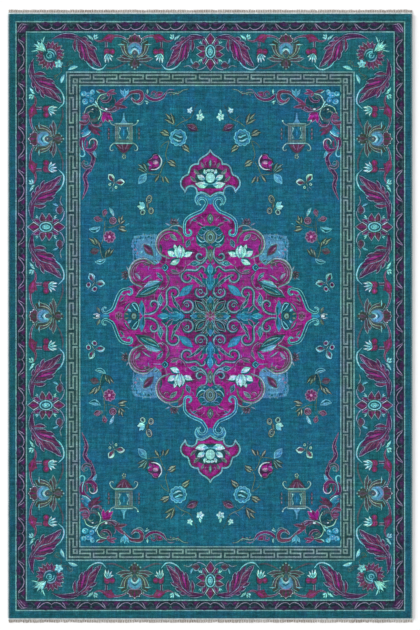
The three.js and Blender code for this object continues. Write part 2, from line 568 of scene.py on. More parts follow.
def lily():
    """The long blue leaf with a turned edge beside the side lobe."""
    leaf("night", (232, 176), (374, 90), 50, bend=-0.06)
    leaf("teal", (240, 170), (366, 98), 42, bend=-0.1, edge="slate", rim=3, half="ink")
    leaf("aqua", (250, 172), (338, 142), 22, bend=0.08, edge="haze", rim=2, half="sky")
    leaf("teal", (256, 150), (344, 108), 20, bend=-0.08, edge="aqua", rim=2, half="ink")
    leaf("sage", (268, 136), (332, 108), 6, bend=-0.1)
    line("haze", [(256, 181), (290, 170), (326, 150), (352, 124), (367, 96)], (3, 5, 5, 2))
    line("white", [(300, 165), (328, 147), (350, 124)], (0.8, 1.8, 0.8))
    line("haze", [(264, 140), (246, 134), (236, 144)], (3, 5, 2))
    leaf("crimson", (306, 172), (366, 118), 15, bend=0.06, half="wine")
    leaf("slate", (236, 178), (266, 214), 14, bend=0.1, edge="sky", rim=2.2, half="ink")
    leaf("aqua", (246, 192), (262, 206), 3)
    leaf("haze", (292, 204), (338, 172), 8, bend=0.1, edge="wine", rim=3)
    leaf("slate", (284, 186), (306, 176), 8)


def drop(y, long, sizes):
    """Leaves one in another on the long axis, this many times as long either way as they are wide."""
    for width, yarn in sizes:
        leaf(yarn, (0, y - width * long), (0, y + width * long), width)


def axis_ornament():
    """The leaves and curls that sit across the medallion's long and short axes near its ends."""
    leaf("pool", (342, 80), (328, -2), 34, bend=0.1)
    leaf("blue", (338, 76), (330, -2), 26, bend=0.1, edge="haze", rim=2.6, half="teal")
    leaf("azure", (338, 70), (334, 40), 12)
    discs(("slate", (376, 36), 28, 36), ("slate", (388, 4), 40, 30), ("teal", (376, 36), 24, 32),
          ("teal", (388, 4), 36, 26), ("pool", (374, 12), 22, 32))
    ribbon([(354, 14), (358, 42), (372, 62), (392, 58)], 9, 1, pale="aqua", light="white")
    ribbon([(362, 24), (376, 40), (390, 60)], 9, 1, pale="aqua", light="white")
    disc("ink", (378, 0), 18, 21)
    disc("sage", (378, 0), 12, 15)
    petals("line", (378, 0), 2, 13, 6, range(0, 360, 60))
    disc("maroon", (378, 0), 4)
    leaf("aqua", (390, 20), (410, 36), 13, edge="ink", rim=2, half="sky")
    ribbon([(426, 28), (414, 48), (400, 64)], (3, 8, 4), 1)
    leaf("sage", (404, 8), (426, 14), 9, edge="ink", rim=2)
    petals("maroon", (452, -2), 3, 19, 10, range(20, 380, 60), edge="mauve", rim=2)
    disc("ink", (452, -2), 5)
    line("mauve", [(434, 10), (452, 21), (470, 10)], (2, 4, 2))
    line("wine", [(396, 84), (414, 70), (440, 64), (452, 44)], (3, 6, 6, 3))
    line("mauve", [(404, 74), (424, 66), (444, 56)], (1, 2.4, 1))
    leaf("teal", (426, 98), (446, 72), 9, edge="mauve", rim=1.8)
    discs(("slate", (30, 378), 42, 40), ("slate", (14, 402), 48, 46), ("teal", (30, 378), 38, 36),
          ("teal", (14, 402), 44, 42), ("pool", (12, 390), 34, 42))
    ribbon([(16, 374), (40, 364), (60, 378), (70, 398)], 9, 1, pale="aqua", light="white")
    ribbon([(22, 410), (44, 398), (62, 410)], 8, 1, pale="sky")
    leaf("ink", (24, 350), (54, 352), 9, edge="aqua", rim=1.8)
    leaf("sage", (30, 378), (56, 396), 8, edge="ink", rim=1.8)
    for ry, yarn in ((34, "ink"), (31, "sage"), (22, "teal"), (19, "line"), (13, "ink")):
        disc(yarn, (0, 390), ry * 0.72, ry)
    leaf("sage", (0, 380), (0, 400), 7)
    line("haze", [(4, 356), (26, 374), (32, 396), (20, 418), (4, 426)], (3, 4, 4, 3))
    leaf("teal", (14, 424), (46, 436), 14, edge="sky", rim=2.2, half="ink")
    drop(482, 0.9, ((34, "ink"), (28, "sage"), (20, "slate"), (10, "line")))
    line("ink", [(40, 444), (60, 454)], (8, 6))
    line("line", [(36, 450), (52, 460), (68, 462)], (1.5, 4, 2))
    line("mauve", [(26, 466), (34, 484), (46, 492)], (1.5, 3, 2))
    leaf("teal", (66, 470), (92, 478), 9, edge="mauve", rim=1.8)
    drop(302, 1.3, ((30, "ink"), (24, "sage"), (17, "slate"), (8, "line")))
    line("sage", [(4, 270), (14, 296), (6, 330)], (2, 3, 2))
    line("mauve", [(18, 332), (32, 340), (50, 338)], (1.5, 3.5, 2))


def lotus():
    """A lotus of pale petals that opens downwards, in its own frame."""
    for base, tip, w, bend in (((-6, 6), (-66, 20), 30, 0.1), ((4, -10), (50, -48), 30, -0.1),
                               ((14, 6), (62, 24), 34, 0.1), ((0, 0), (0, 56), 50, 0)):
        leaf("teal", base, tip, w + 8, bend=bend, half="ink")
    leaf("slate", (-34, 40), (-50, 80), 20, edge="sky", rim=2, half="ink", ribs=3, rib="sky")
    for base, tip, w, bend in (((-16, 0), (-62, 16), 24, 0.12), ((0, -20), (46, -43), 24, -0.1),
                               ((18, -4), (58, 22), 26, -0.08)):
        leaf("white", base, tip, w, bend=bend, edge="aqua", rim=1.4, half="mint")
        near = (base[0] * 0.6 + tip[0] * 0.4, base[1] * 0.6 + tip[1] * 0.4)
        leaf("aqua", base, near, w * 0.45, bend=bend, half="sky")
        leaf("aqua", near, (tip[0] * 0.8, tip[1] * 0.8), 2.2, bend=bend)
    leaf("white", (18, 28), (26, 54), 16, edge="teal", rim=2, half="mint")
    for side in (-1, 1):
        leaf("mint", (side * 8, -14), (side * 15, 45), 24, bend=-side * 0.1, edge="teal", rim=2,
             half="aqua" if side < 0 else None)
    leaf("white", (0, -14), (0, 50), 26, edge="teal", rim=2, half="mint", fat=0.6)
    leaf("aqua", (0, -12), (0, 22), 8, half="sky")
    for x in (-8, 0, 8):
        line("aqua", [(x * 0.4, -6), (x, 14), (x * 0.9, 36)], (1.6, 1.2, 0.8))


def knot():
    """The round knot in the notch between the two lobes."""
    for w, yarn in ((44, "night"), (37, "sky"), (28, "teal"), (15, "ink")):
        leaf(yarn, (229 - w * 0.12, 240 - w * 0.5), (229 - w * 0.1, 240 + w * 0.5), w * 0.86,
             bend=0.06)
    leaf("aqua", (226, 236), (230, 246), 4)
    line("sky", [(242, 238), (262, 238), (284, 236)], (4, 3, 1.5))
    line("mauve", [(222, 258), (217, 278), (214, 304)], (3, 5, 2))
    line("sage", [(236, 256), (246, 262), (258, 276)], (3, 4, 3))


def lobes():
    """The two round lobes on the medallion's outline, with a smaller arc inside each."""
    for centre, radius, start, end, wide in (
            ((330, 212), 54, -100, 70, 8), ((322, 220), 50, 0, 95, (3, 6, 4)),
            ((216, 390), 15, 180, 400, (2, 7, 7, 3))):
        ribbon(spiral(centre, radius, radius, start, end), wide, pale="mauve", core="wine",
               shade="maroon")
    leaf("haze", (346, 178), (376, 214), 17, bend=0.12, edge="wine", rim=3, half="mauve")
    leaf("wine", (326, 166), (366, 172), 15, half="maroon")
    leaf("sage", (284, 272), (332, 260), 18, bend=-0.2, edge="ink", rim=3, half="slate")
    leaf("slate", (256, 264), (280, 280), 9, edge="aqua", rim=1.8)
    line("sage", [(304, 262), (302, 250), (308, 242)], (4, 4, 2))
    line("mauve", [(322, 262), (324, 248), (334, 244)], (3, 4, 2))
    leaf("ink", (244, 306), (254, 366), 16, bend=0.12, half="slate")
    leaf("sage", (166, 374), (200, 406), 18, edge="haze", rim=2.4, half="slate", ribs=3, rib="line")
    ribbon(spiral((192, 366), 58, 58, 185, 85), 8, 1, pale="sage", core="slate", shade="ink")
    leaf("wine", (134, 410), (160, 444), 20, half="maroon")
    leaf("crimson", (140, 422), (154, 436), 6)
    for centre, _, start, end in LOBES:
        ribbon(spiral(centre, 59, 52, start + 46, end - 16), (2, 8, 11, 8, 2), -1,
               pale="mauve", core="maroon", shade="wine")
    for centre, radius, start, end in LOBES:
        ribbon(spiral(centre, radius - 2, radius - 2, start - 24, end), (5, 9, 10, 10, 10, 9, 6), -1,
               pale="haze", core="sage", shade="ink", light="white")
    ribbon(spiral((170, 400), 50, 50, 145, 45), (5, 8, 7, 3), -1, pale="haze", core="sage", shade="ink")


def small_blossoms():
    """The little flowers that grow from the outside of each lobe."""
    for x, y, turn, flip in ((410, 204, 0, 1), (180, 454, 90, -1)):
        with turned((x, y), turn, flip=flip):
            leaf("ink", (-6, 0), (24, 0), 40)
            for a, reach in ((-75, 26), (-42, 32), (-12, 30), (20, 32), (52, 24)):
                c, s = math.cos(math.radians(a)), math.sin(math.radians(a))
                leaf("maroon", (2 * c, 2 * s), (reach * c, reach * s), 11, bend=0.15,
                     edge="taupe" if abs(a) < 60 else "slate", rim=2, half="night")
                leaf("haze", (reach * 0.5 * c, reach * 0.5 * s), (reach * 0.9 * c, reach * 0.9 * s), 3)
            leaves(("sky", (16, -16), (34, -26), 6), ("haze", (-6, 18), (6, 44), 7))
            discs(("ink", (2, 0), 5), ("sage", (2, 0), 2.5))


def outline_scrolls():
    """The light blue scroll bands at the medallion's side tip and above the pendant."""
    leaves(("blue", (496, 0), (546, 0), 26), ("azure", (498, 0), (538, 0), 12))
    horn = spiral((404, 116), 8, 20, -60, -240) + HORN[-3::-1][:4] + spiral((520, 33), 19, 9, 225, 470)
    foot = (spiral((108, 415), 12, 19, 110, 350) + [(129, 440)] + FOOT[:4]
            + spiral((43, 563), 26, 14, 230, -60))
    shape("blue", [(-9, 548, 1), (14, 560), (24, 582), (46, 590), (64, 574), (76, 572), (70, 592),
                   (54, 606), (30, 612), (-9, 600, 1)])
    leaves(("azure", (-6, 576), (22, 596), 16), ("pool", (30, 600), (66, 590), 8, 0.2))
    for points, wide, core in ((horn, (7, 11, 13, 16, 16, 16, 14, 11, 7), "teal"),
                               (foot, (7, 11, 13, 15, 16, 16, 15, 13, 8), "blue")):
        line("ink", points, tuple(w + 4 for w in wide))
        double("aqua", core, points, wide, 3.2)
        line("pool", points[2:-2], (1, 3, 4, 4, 4, 3, 1))
    line("sky", spiral((428, 118), 15, 15, -30, -150), (5, 4, 2))
    line("sky", [(62, 490), (78, 484), (94, 472), (100, 458)], (2, 4, 4, 2))
    disc("ink", (558, 0), 13, 9)
    disc("white", (557, 0), 10, 6)
    leaf("sage", (548, 14), (562, 44), 16, bend=0.1, edge="ink", rim=2, half="slate")
    line("white", [(546, 7), (562, 11), (580, 8)], (1.5, 3.5, 1.5))
    line("aqua", spiral((44, 576), 32, 32, -50, 140) + [(-9, 586)], (4, 6, 6, 6))


def pendant():
    """The pendant at the medallion's end: pale lotus petals on plum, in a blue outline."""
    outline = joined([(0, 590), (20, 604), (44, 613)], spiral((95, 614), 30, 30, 190, 0),
                     spiral((104, 658), 43, 43, -55, 80), spiral((68, 716), 37, 37, 0, 100),
                     [(60, 752), (56, 770), (40, 786), (22, 796), (8, 808), (0, 822)])
    shape("plum", [(-9, 590, 1)] + outline + [(-9, 817, 1)])
    with placed((0, 56), (0.92, 0), (0, 0.92)):
        shape("wine", [(-9, 590, 1)] + outline + [(-9, 817, 1)])
    for x, y, rx, ry, turn in ((44, 630, 26, 11, 5), (108, 668, 15, 22, 20), (80, 700, 13, 16, 30),
                               (48, 738, 17, 14, -30), (18, 776, 22, 11, -35), (10, 620, 14, 8, 20)):
        discs(("magenta", (x, y), rx, ry, turn), ("rose", (x, y), rx * 0.6, ry * 0.55, turn))
    disc("ink", (22, 682), 54, 52)
    disc("teal", (8, 682), 40, 46)
    for base, tip, w, bend in (((70, 664), (98, 692), 13, -0.1), ((54, 704), (80, 726), 15, -0.2),
                               ((34, 734), (46, 758), 10, 0.1), ((66, 626), (92, 650), 9, 0.1)):
        leaf("slate", base, tip, w, bend=bend, edge="mauve", rim=1.8, half="sage")
    for base, tip, w, bend in (((10, 650), (74, 656), 31, -0.14), ((24, 676), (64, 698), 27, -0.08),
                               ((22, 700), (30, 726), 17, 0), ((-6, 722), (24, 718), 13, 0)):
        leaf("white", base, tip, w, bend=bend, edge="teal", rim=2, half="mint")
        near = (base[0] * 0.55 + tip[0] * 0.45, base[1] * 0.55 + tip[1] * 0.45)
        leaf("aqua", base, near, w * 0.42, bend=bend, half="sky")
        line("aqua", [near, (base[0] * 0.2 + tip[0] * 0.8, base[1] * 0.2 + tip[1] * 0.8)], (1.4, 0.6))
    disc("teal", (0, 685), 26, 28)
    disc("mint", (0, 685), 23, 25)
    for x in (0, 7, 13):
        line("aqua", [(x * 0.7, 668), (x, 688), (x * 0.6, 704)], (0.8, 1.6, 0.8))
    line("aqua", [(2, 652), (22, 656), (36, 670)], (3, 4, 1.5))
    line("teal", [(4, 660), (22, 664), (30, 676)], (2, 3, 1))
    for w, yarn in ((24, "teal"), (18, "sage"), (10, "line")):
        leaf(yarn, (0, 756 - w), (0, 756 + w), w * 0.7)
    line("mauve", spiral((14, 756), 12, 12, -60, 70), (1.5, 3, 1.5))
    line("mauve", spiral((98, 612), 36, 36, 110, 30), (1, 3, 1))
    coats(outline, ("ink", 12), ("aqua", 6.5), ("haze", 2.4))


# ---------------------------------------------------------------- spandrel in the field's corner
def vine(points, width, core="plum", dark="grape", rim="mauve", edge=3.0, side=1):
    """A stem of the corner scrollwork: pale rims round a dark band with one darker side."""
    line("deep", points, tuple(w + 3.5 for w in width))
    double(rim, core, points, width, edge)
    path = spline(points)
    thin = [max(0.5, (w - 2 * edge) * 0.45) for w in width]
    put(dark, stroke(beside(path, side * 0.22 * max(thin)), thin)[0])


def hoop(points, width, yarn="mint", shade="sage"):
    """A fine pale ring with a soft side, on a dark line."""
    path = spline(points)
    put("ink", stroke(path, [w + 5 for w in width])[0])
    put(shade, stroke(path, width)[0])
    put(yarn, stroke(beside(path, 0.7), [0.6 * w for w in width])[0])


def corner_blossom():
    """A blue flower of loose curls in the field's corner."""
    curls = ((588, 1068, 14, 60, "sky"), (620, 1064, 16, 200, "aqua"), (602, 1094, 16, 320, "sky"),
             (628, 1100, 14, 120, "aqua"), (582, 1110, 13, 250, "aqua"))
    for x, y, r, *_ in curls:
        disc("pool", (x, y), r + 6)
    for x, y, r, start, yarn in curls:
        disc("azure", (x, y), r, r * 0.9)
        line(yarn, spiral((x, y), r, r * 0.3, start, start + 330), (3, 6, 6, 3))
        disc("white", (x + 3, y - 3), 2.8, 2.2)


def spandrel_side():
    """The field's corner, first part: the vines along the side and the upper ring."""
    vine([(634, 578), (611, 645), (622, 690), (592, 736), (578, 786), (608, 818)], (4, 16, 18, 22, 20, 12),
         side=-1)
    vine(spiral((612, 756), 24, 18, 220, 410), (16, 17, 15, 12, 5), core="slate", dark="ink", edge=2.6)
    for x, y, a in ((616, 642, 70), (612, 690, -50), (592, 726, -60), (580, 766, -100)):
        with turned((x, y), a, flip=-1):
            leaf("plum", (-2, 0), (14, 2), 8, bend=0.2, edge="mauve", rim=1.6)
    leaf("teal", (606, 752), (624, 764), 14, edge="line", rim=1.8)
    leaf("sky", (562, 784), (578, 822), 11, bend=-0.1, edge="aqua", rim=2)
    # the upper ring
    vine(spiral((597, 852), 36, 46, -72, 92), (10, 20, 26, 28, 22, 8), core="plum", dark="wine", edge=2.6)
    vine(spiral((597, 852), 34, 30, -60, -235), (14, 22, 20, 17, 12, 3), core="plum", dark="wine",
         edge=2.4, side=-1)
    leaves(("ink", (602, 826), (588, 886), 26, 0.05), ("teal", (601, 838), (594, 874), 14, 0.05))
    line("white", spiral((580, 858), 22, 18, 215, -30), (1.6, 3, 4.6, 3.2, 1.4))
    leaves(("crimson", (616, 826), (612, 874), 9, 0.2), ("crimson", (586, 828), (571, 856), 8, -0.2))
    line("aqua", spiral((634, 802), 13, 13, -20, -190) + [(632, 840), (634, 870)], (5, 6, 6, 5, 4.4, 2))
    # a sky-blue shell by the border
    for radius, yarn, wide in ((48, "pool", 32), (56, "aqua", 6), (49, "sky", 6), (42, "azure", 7),
                               (34, "blue", 6), (28, "sky", 3), (57, "white", 2)):
        line(yarn, spiral((640, 944), radius, radius, 192, 262), (wide * 0.5, wide, wide, wide * 0.8))
    leaf("mauve", (624, 908), (642, 902), 7)


def spandrel_rings():
    """The field's corner, second part: cut leaves, the middle and lower rings and a star leaf."""
    # cut leaves above the middle ring
    fan((604, 946), ((544, 892, 13, "crimson"), (566, 898, 13, "maroon"), (538, 914, 12, "maroon"),
                     (588, 920, 12, "plum"), (536, 940, 12, "crimson")), rim="plum", ground="pool")
    leaf("crimson", (618, 970), (638, 922), 17, bend=0.1, half="maroon", edge="plum", rim=1.8)
    # the middle ring
    disc("deep", (580, 996), 44, 46)
    for centre, radius, start, end, wide, yarn in (
            ((578, 990), 28, -50, -170, (9, 12, 6), "slate"),
            ((580, 994), 32, 130, 60, (6, 9, 6), "slate"), ((562, 982), 14, -60, 60, (6, 8, 3), "teal"),
            ((590, 1000), 14, -20, 160, (5, 6, 2), "sage"),
            ((580, 990), 20, 200, 330, (4, 8, 3), "taupe"),
            ((584, 1004), 24, 60, 170, (3, 6, 2), "ink")):
        line(yarn, spiral(centre, radius, radius * 0.9, start, end), wide)
    vine(spiral((580, 985), 48, 48, 155, 226), (8, 15, 15, 10), edge=2.4)
    coats(spiral((562, 968), 32, 30, 222, 350), ("deep", (6, 9, 9, 5)), ("mauve", (4, 5.4, 5.4, 3)))
    vine(spiral((624, 978), 26, 24, -50, -275), (18, 18, 12, 8, 10, 12), core="crimson", dark="maroon",
         edge=2.2)
    leaf("crimson", (600, 986), (640, 980), 26)
    for y in (970, 982, 992):
        leaf("mauve", (606, y), (638, y - 3), 4)
    disc("white", (582, 1023), 4.6, 3.4)
    disc("mauve", (604, 1008), 4, 3)
    hoop(spiral((583, 1001), 41, 41, 228, 2), (4, 5, 5, 5, 5, 5, 4))
    # a tulip between the rings
    fan((528, 1010), ((482, 966, 18, "magenta"), (503, 960, 18, "wine"), (530, 956, 16, "magenta"),
                      (488, 994, 13, "wine")), ground="pool", edge=3)
    leaf("orchid", (526, 1002), (496, 978), 6)
    leaf("orchid", (526, 1002), (514, 972), 6)
    # a star leaf
    fan((480, 1044), ((412, 1032, 14, "maroon"), (402, 1088, 13, "crimson"), (476, 1076, 15, "maroon"),
                      (436, 1054, 10, "ruby"), (490, 1012, 13, "wine"), (450, 1024, 13, "maroon")),
        ground="pool")
    # the lower ring
    disc("deep", (516, 1057), 45, 45)
    for centre, radius, start, end, wide, yarn in (
            ((500, 1056), 20, 230, 330, (8, 13, 6), "teal"),
            ((518, 1060), 26, -65, 10, (6, 13, 5), "teal"),
            ((522, 1062), 30, 125, 40, (5, 9, 5), "slate"),
            ((516, 1052), 30, 200, 300, (4, 8, 3), "taupe"),
            ((526, 1066), 16, 120, 20, (3, 6, 3), "ink")):
        line(yarn, spiral(centre, radius, radius * 0.9, start, end), wide)
    leaf("sage", (516, 1084), (540, 1074), 6)
    vine(spiral((505, 1060), 44, 42, 222, 325), (16, 14, 10, 3), dark="maroon", edge=2.2)
    vine(spiral((521, 1088), 28, 27, -20, -215), (3, 11, 14, 15, 12), core="maroon", edge=2.4)
    hoop(spiral((490, 1060), 50, 50, 235, 305), (4, 5, 5, 5), "mauve", "haze")
    hoop(spiral((517, 1058), 44, 44, -88, 100), (5, 5.4, 5, 5, 5, 5, 3))
    disc("white", (515, 1024), 7, 5)
    # a cut leaf at the foot, and pale blades
    fan((514, 1106), ((464, 1101, 11, "crimson"), (498, 1087, 10, "ruby"), (560, 1117, 12, "maroon"),
                      (472, 1120, 10, "crimson")), ground="pool")
    blades((((556, 1036), (580, 1076), 9, 0.1), ((560, 1042), (594, 1056), 7, -0.1),
            ((544, 1102), (572, 1122), 7, -0.12), ((311, 1098), (311, 1124), 10, 0),
            ((316, 1066), (311, 1046), 9, 0), ((302, 1056), (326, 1066), 7, 0)),
           "mint", "aqua", "ink", halo=6)


def spandrel_end():
    """The field's corner, last part: the arm along the end, with a tuft and vines."""
    disc("pool", (184, 1106), 38, 18)
    for i in range(8):
        x, y = 154 + 7 * i, 1102 + 7 * math.cos(2.6 * i)
        with turned((x, y), 50 * i):
            leaf(("sage", "maroon", "taupe", "ruby")[i % 4], (-8, 0), (8, 0), 7.5)
            leaf(("line", "rose")[i % 2], (-4, 0), (4, 1), 2.6)
    hoop([(110, 1122), (134, 1118), (160, 1101), (196, 1107), (222, 1098)], (2, 4, 5, 4, 3),
         "line", "sage")
    line("mauve", [(178, 1118), (196, 1122), (214, 1116)], (1.6, 4, 1.6))
    vine(spiral((274, 1130), 62, 60, 200, 322), (7, 16, 17, 19, 17), dark="wine", rim="haze", edge=2.8)
    leaf("maroon", (234, 1106), (278, 1088), 24, edge="mauve", rim=1.8)
    vine(spiral((281, 1098), 15, 10, 225, -20), (9, 9, 9, 8, 4), edge=2)
    leaf("rose", (238, 1100), (262, 1092), 6)
    leaf("teal", (300, 1084), (280, 1094), 9, edge="sage", rim=1.6)
    disc("pool", (366, 1086), 46, 40)
    vine(spiral((366, 1086), 24, 30, -25, -222) + [(392, 1106), (412, 1090), (428, 1066)],
         (12, 20, 24, 24, 20, 16, 5), core="maroon", dark="ruby", rim="haze", edge=3.4)
    line("line", spiral((352, 1068), 22, 22, 200, 340), (3, 4, 4, 2))
    line("ink", spiral((372, 1088), 12, 10, -90, 60), (4, 10, 5))
    leaf("rose", (340, 1072), (362, 1060), 4)
    fan((424, 1082), ((404, 1120, 9, "sky"), (424, 1124, 9, "azure"), (444, 1120, 9, "sky")), rim="aqua",
        ground="pool")


# ---------------------------------------------------------------- sprays, butterflies, lantern
def butterfly(centre, turn, size, wing, rim, eye, shine, small):
    """A butterfly seen from above, its head towards +x; small is its upper wings' radius."""
    with turned(centre, turn, size):
        for grow, yarn in ((5, "deep"), (2, rim), (-3, wing)):
            for side in (1, -1):
                leaf(yarn, (2, 3 * side), (-24 - grow, (46 + grow) * side), 30 + 2 * grow, fat=0.6,
                     bend=0.12 * side)
        for side in (1, -1):
            for yarn, r in (("deep", small + 4), (rim, small), (eye, small - 4)):
                disc(yarn, (10 + small, 18 * side), r, r * 0.86)
            line(shine, spiral((9 + small, 18 * side), small - 3, small - 3, 60 * side, 200 * side),
                 (1, 3, 1))
            disc("night", (9 + small, 17 * side), small * 0.3)
            leaf(eye, (-4, 16 * side), (-16, 36 * side), 10)
            disc("night", (-13, 31 * side), 3.6, 3)
            line("white", [(-16, 14 * side), (-26, 30 * side), (-27, 42 * side)], (1, 3.4, 2))
            line("haze", [(28, 4 * side), (38, 9 * side), (46, 8 * side)], (2.4, 2, 1.2))
        leaves(("ink", (-18, 0), (30, 0), 10), ("line", (-10, 0), (26, 0), 4))


def butterflies():
    """Two butterflies and a moth, over the field's side."""
    butterfly((574, 164), -56, 1.0, "slate", "aqua", "wine", "mauve", 14)
    butterfly((474, 660), -64, 0.95, "taupe", "mint", "ruby", "aqua", 8)
    # a moth above the blossoms, with three round wings and a feathered one
    for centre, rx, ry, turn, rim in (
            ((293, 521), 13, 16, 0, "bone"), ((334, 514), 12, 14, 30, "mint"),
            ((303, 578), 14, 21, 20, "bone")):
        with turned(centre, turn):
            discs(("ink", (0, 0), rx + 3, ry + 3), (rim, (0, 0), rx, ry),
                  ("slate", (0, 0), rx - 3, ry - 3))
            line("line", spiral((0, 0), rx - 6, rx - 7, 20, 300), 1.8)
            disc("night", (0, 0), 4, 6)
    leaf("ink", (308, 524), (314, 570), 17)
    leaf("taupe", (309, 528), (313, 566), 9, half="sage")
    fan((324, 536), ((362, 544, 15, "mint"), (352, 566, 14, "aqua"), (354, 530, 9, "mint"),
                     (336, 566, 9, "aqua")), rim="aqua", edge=1)


def bloom(centre, radius, count, fill, dark, rim, heart):
    """An open flower: pale-rimmed petals with dark gaps between them."""
    disc("night", centre, radius + 1)
    step = 360 // count
    around = range(10, 370, step)
    petals(rim, centre, radius * 0.3, radius + 3, radius * 0.74, around, fat=0.66)
    petals(fill, centre, 2, radius - 1.5, radius * 0.5, around, fat=0.64, half=dark)
    petals(rim, centre, radius * 0.4, radius * 0.86, 2.6, range(10 + step // 2, 370, step))
    disc(dark, centre, radius * 0.34)
    disc("rose", centre, radius * 0.29)
    disc(heart, centre, radius * 0.22)


def bud(centre, turn, size=1.0):
    with turned(centre, turn, size):
        leaf("deep", (-20, 0), (28, 2), 32)
        leaves(("slate", (-20, -4), (4, -8), 11, 0.2), ("slate", (-20, 4), (4, 8), 11, -0.2),
               edge="sage", rim=1.4)
        leaf("crimson", (-12, 0), (24, 2), 25, edge="mauve", rim=2.4, fat=0.55, half="maroon")
        leaf("maroon", (-8, -2), (18, -5), 7, bend=0.1)
        line("mauve", [(-8, 0), (6, -1), (20, 2)], (1, 2.6, 1))
        line("haze", [(-4, 6), (8, 7), (16, 5)], (0.8, 1.8, 0.8))


def spray_leaf(base, tip, width, streak="bone", bend=0.1):
    """A leaf of the sprays: a dull ground with pale streaks running down it."""
    (x0, y0), (x1, y1) = base, tip
    leaf("deep", base, tip, width + 11, bend=bend)
    leaf("umber", base, tip, width + 4, bend=bend, half="ink")
    for share, near, far, thick in (
            (0.0, 0.0, 1.0, 0.3), (0.27, 0.2, 0.84, 0.22), (-0.27, 0.12, 0.72, 0.22)):
        side = share * width / math.dist(base, tip)
        start = (x0 + (x1 - x0) * near, y0 + (y1 - y0) * near)
        end = (x0 + (x1 - x0) * far - (y1 - y0) * side, y0 + (y1 - y0) * far + (x1 - x0) * side)
        leaf(streak if share <= 0 else "sage", start, end, width * thick, bend=bend + side)


def stems(*rows):
    """Stems on a dark line, from rows of points, width and yarn."""
    for points, width, yarn in rows:
        coats(points, ("deep", tuple(w + 4 for w in width)), (yarn, width))


def spray_by_the_side():
    """The spray between the medallion and the side: a red flower, buds and dull leaves."""
    leaf("deep", (528, 268), (540, 350), 26, bend=0.1)
    stems(([(526, 278), (538, 302), (545, 340), (530, 380), (524, 430), (522, 470)],
           (2, 3, 3, 3, 3, 2), "sage"),
          ([(524, 440), (490, 440), (460, 452), (440, 462)], (2, 3, 2), "sage"),
          ([(512, 428), (508, 460), (520, 496)], (3, 3, 2), "teal"))
    for base, tip, w, bend in (((520, 282), (568, 268), 19, -0.24), ((546, 440), (598, 430), 24, -0.3)):
        leaf("deep", base, tip, w + 6, bend=bend)
        leaf("slate" if w < 20 else "sky", base, tip, w, bend=bend, edge="aqua", rim=2.6,
             half="teal")
        leaf("aqua", base, tip, 4, bend=bend * 0.7)
    leaf("aqua", (550, 428), (568, 414), 6, bend=0.1)
    for tip, w in (((476, 334), 15), ((494, 342), 14), ((512, 330), 9)):
        spray_leaf((521, 288), tip, w, bend=0.05)
    leaf("deep", (546, 326), (600, 316), 40)
    leaf("taupe", (550, 326), (594, 316), 30, edge="slate", rim=2, half="maroon", ribs=2, rib="slate")
    for tip, w in (((604, 388), 17), ((578, 390), 15), ((556, 372), 10)):
        spray_leaf((545, 338), tip, w, bend=0.06)
    bloom((499, 392), 29, 8, "crimson", "wine", "mauve", "blush")
    spray_leaf((458, 434), (410, 422), 15, bend=0.1)
    spray_leaf((454, 440), (416, 440), 10, bend=-0.1)
    for tip, w in (((432, 500), 14), ((452, 496), 11), ((420, 476), 10)):
        spray_leaf((448, 452), tip, w, bend=-0.05)
    line("sky", [(402, 458), (420, 448)], (4, 2))
    disc("deep", (482, 472), 22)
    for yarn, r in (("mauve", 18), ("maroon", 15)):
        disc(yarn, (482, 472), r, r * 1.05)
    leaf("crimson", (470, 476), (494, 466), 14, half="maroon")
    for pts in ([(470, 464), (480, 458), (492, 464)], [(472, 476), (484, 482), (492, 474)],
                [(476, 468), (486, 466), (488, 474)]):
        line("mauve", pts, (1.4, 3.4, 1.4))
    leaf("sky", (478, 494), (500, 538), 18, bend=0.1, edge="pool", rim=3, half="aqua", ribs=2,
         rib="white")
    bud((552, 478), 10)
    bud((524, 508), 100, 0.85)


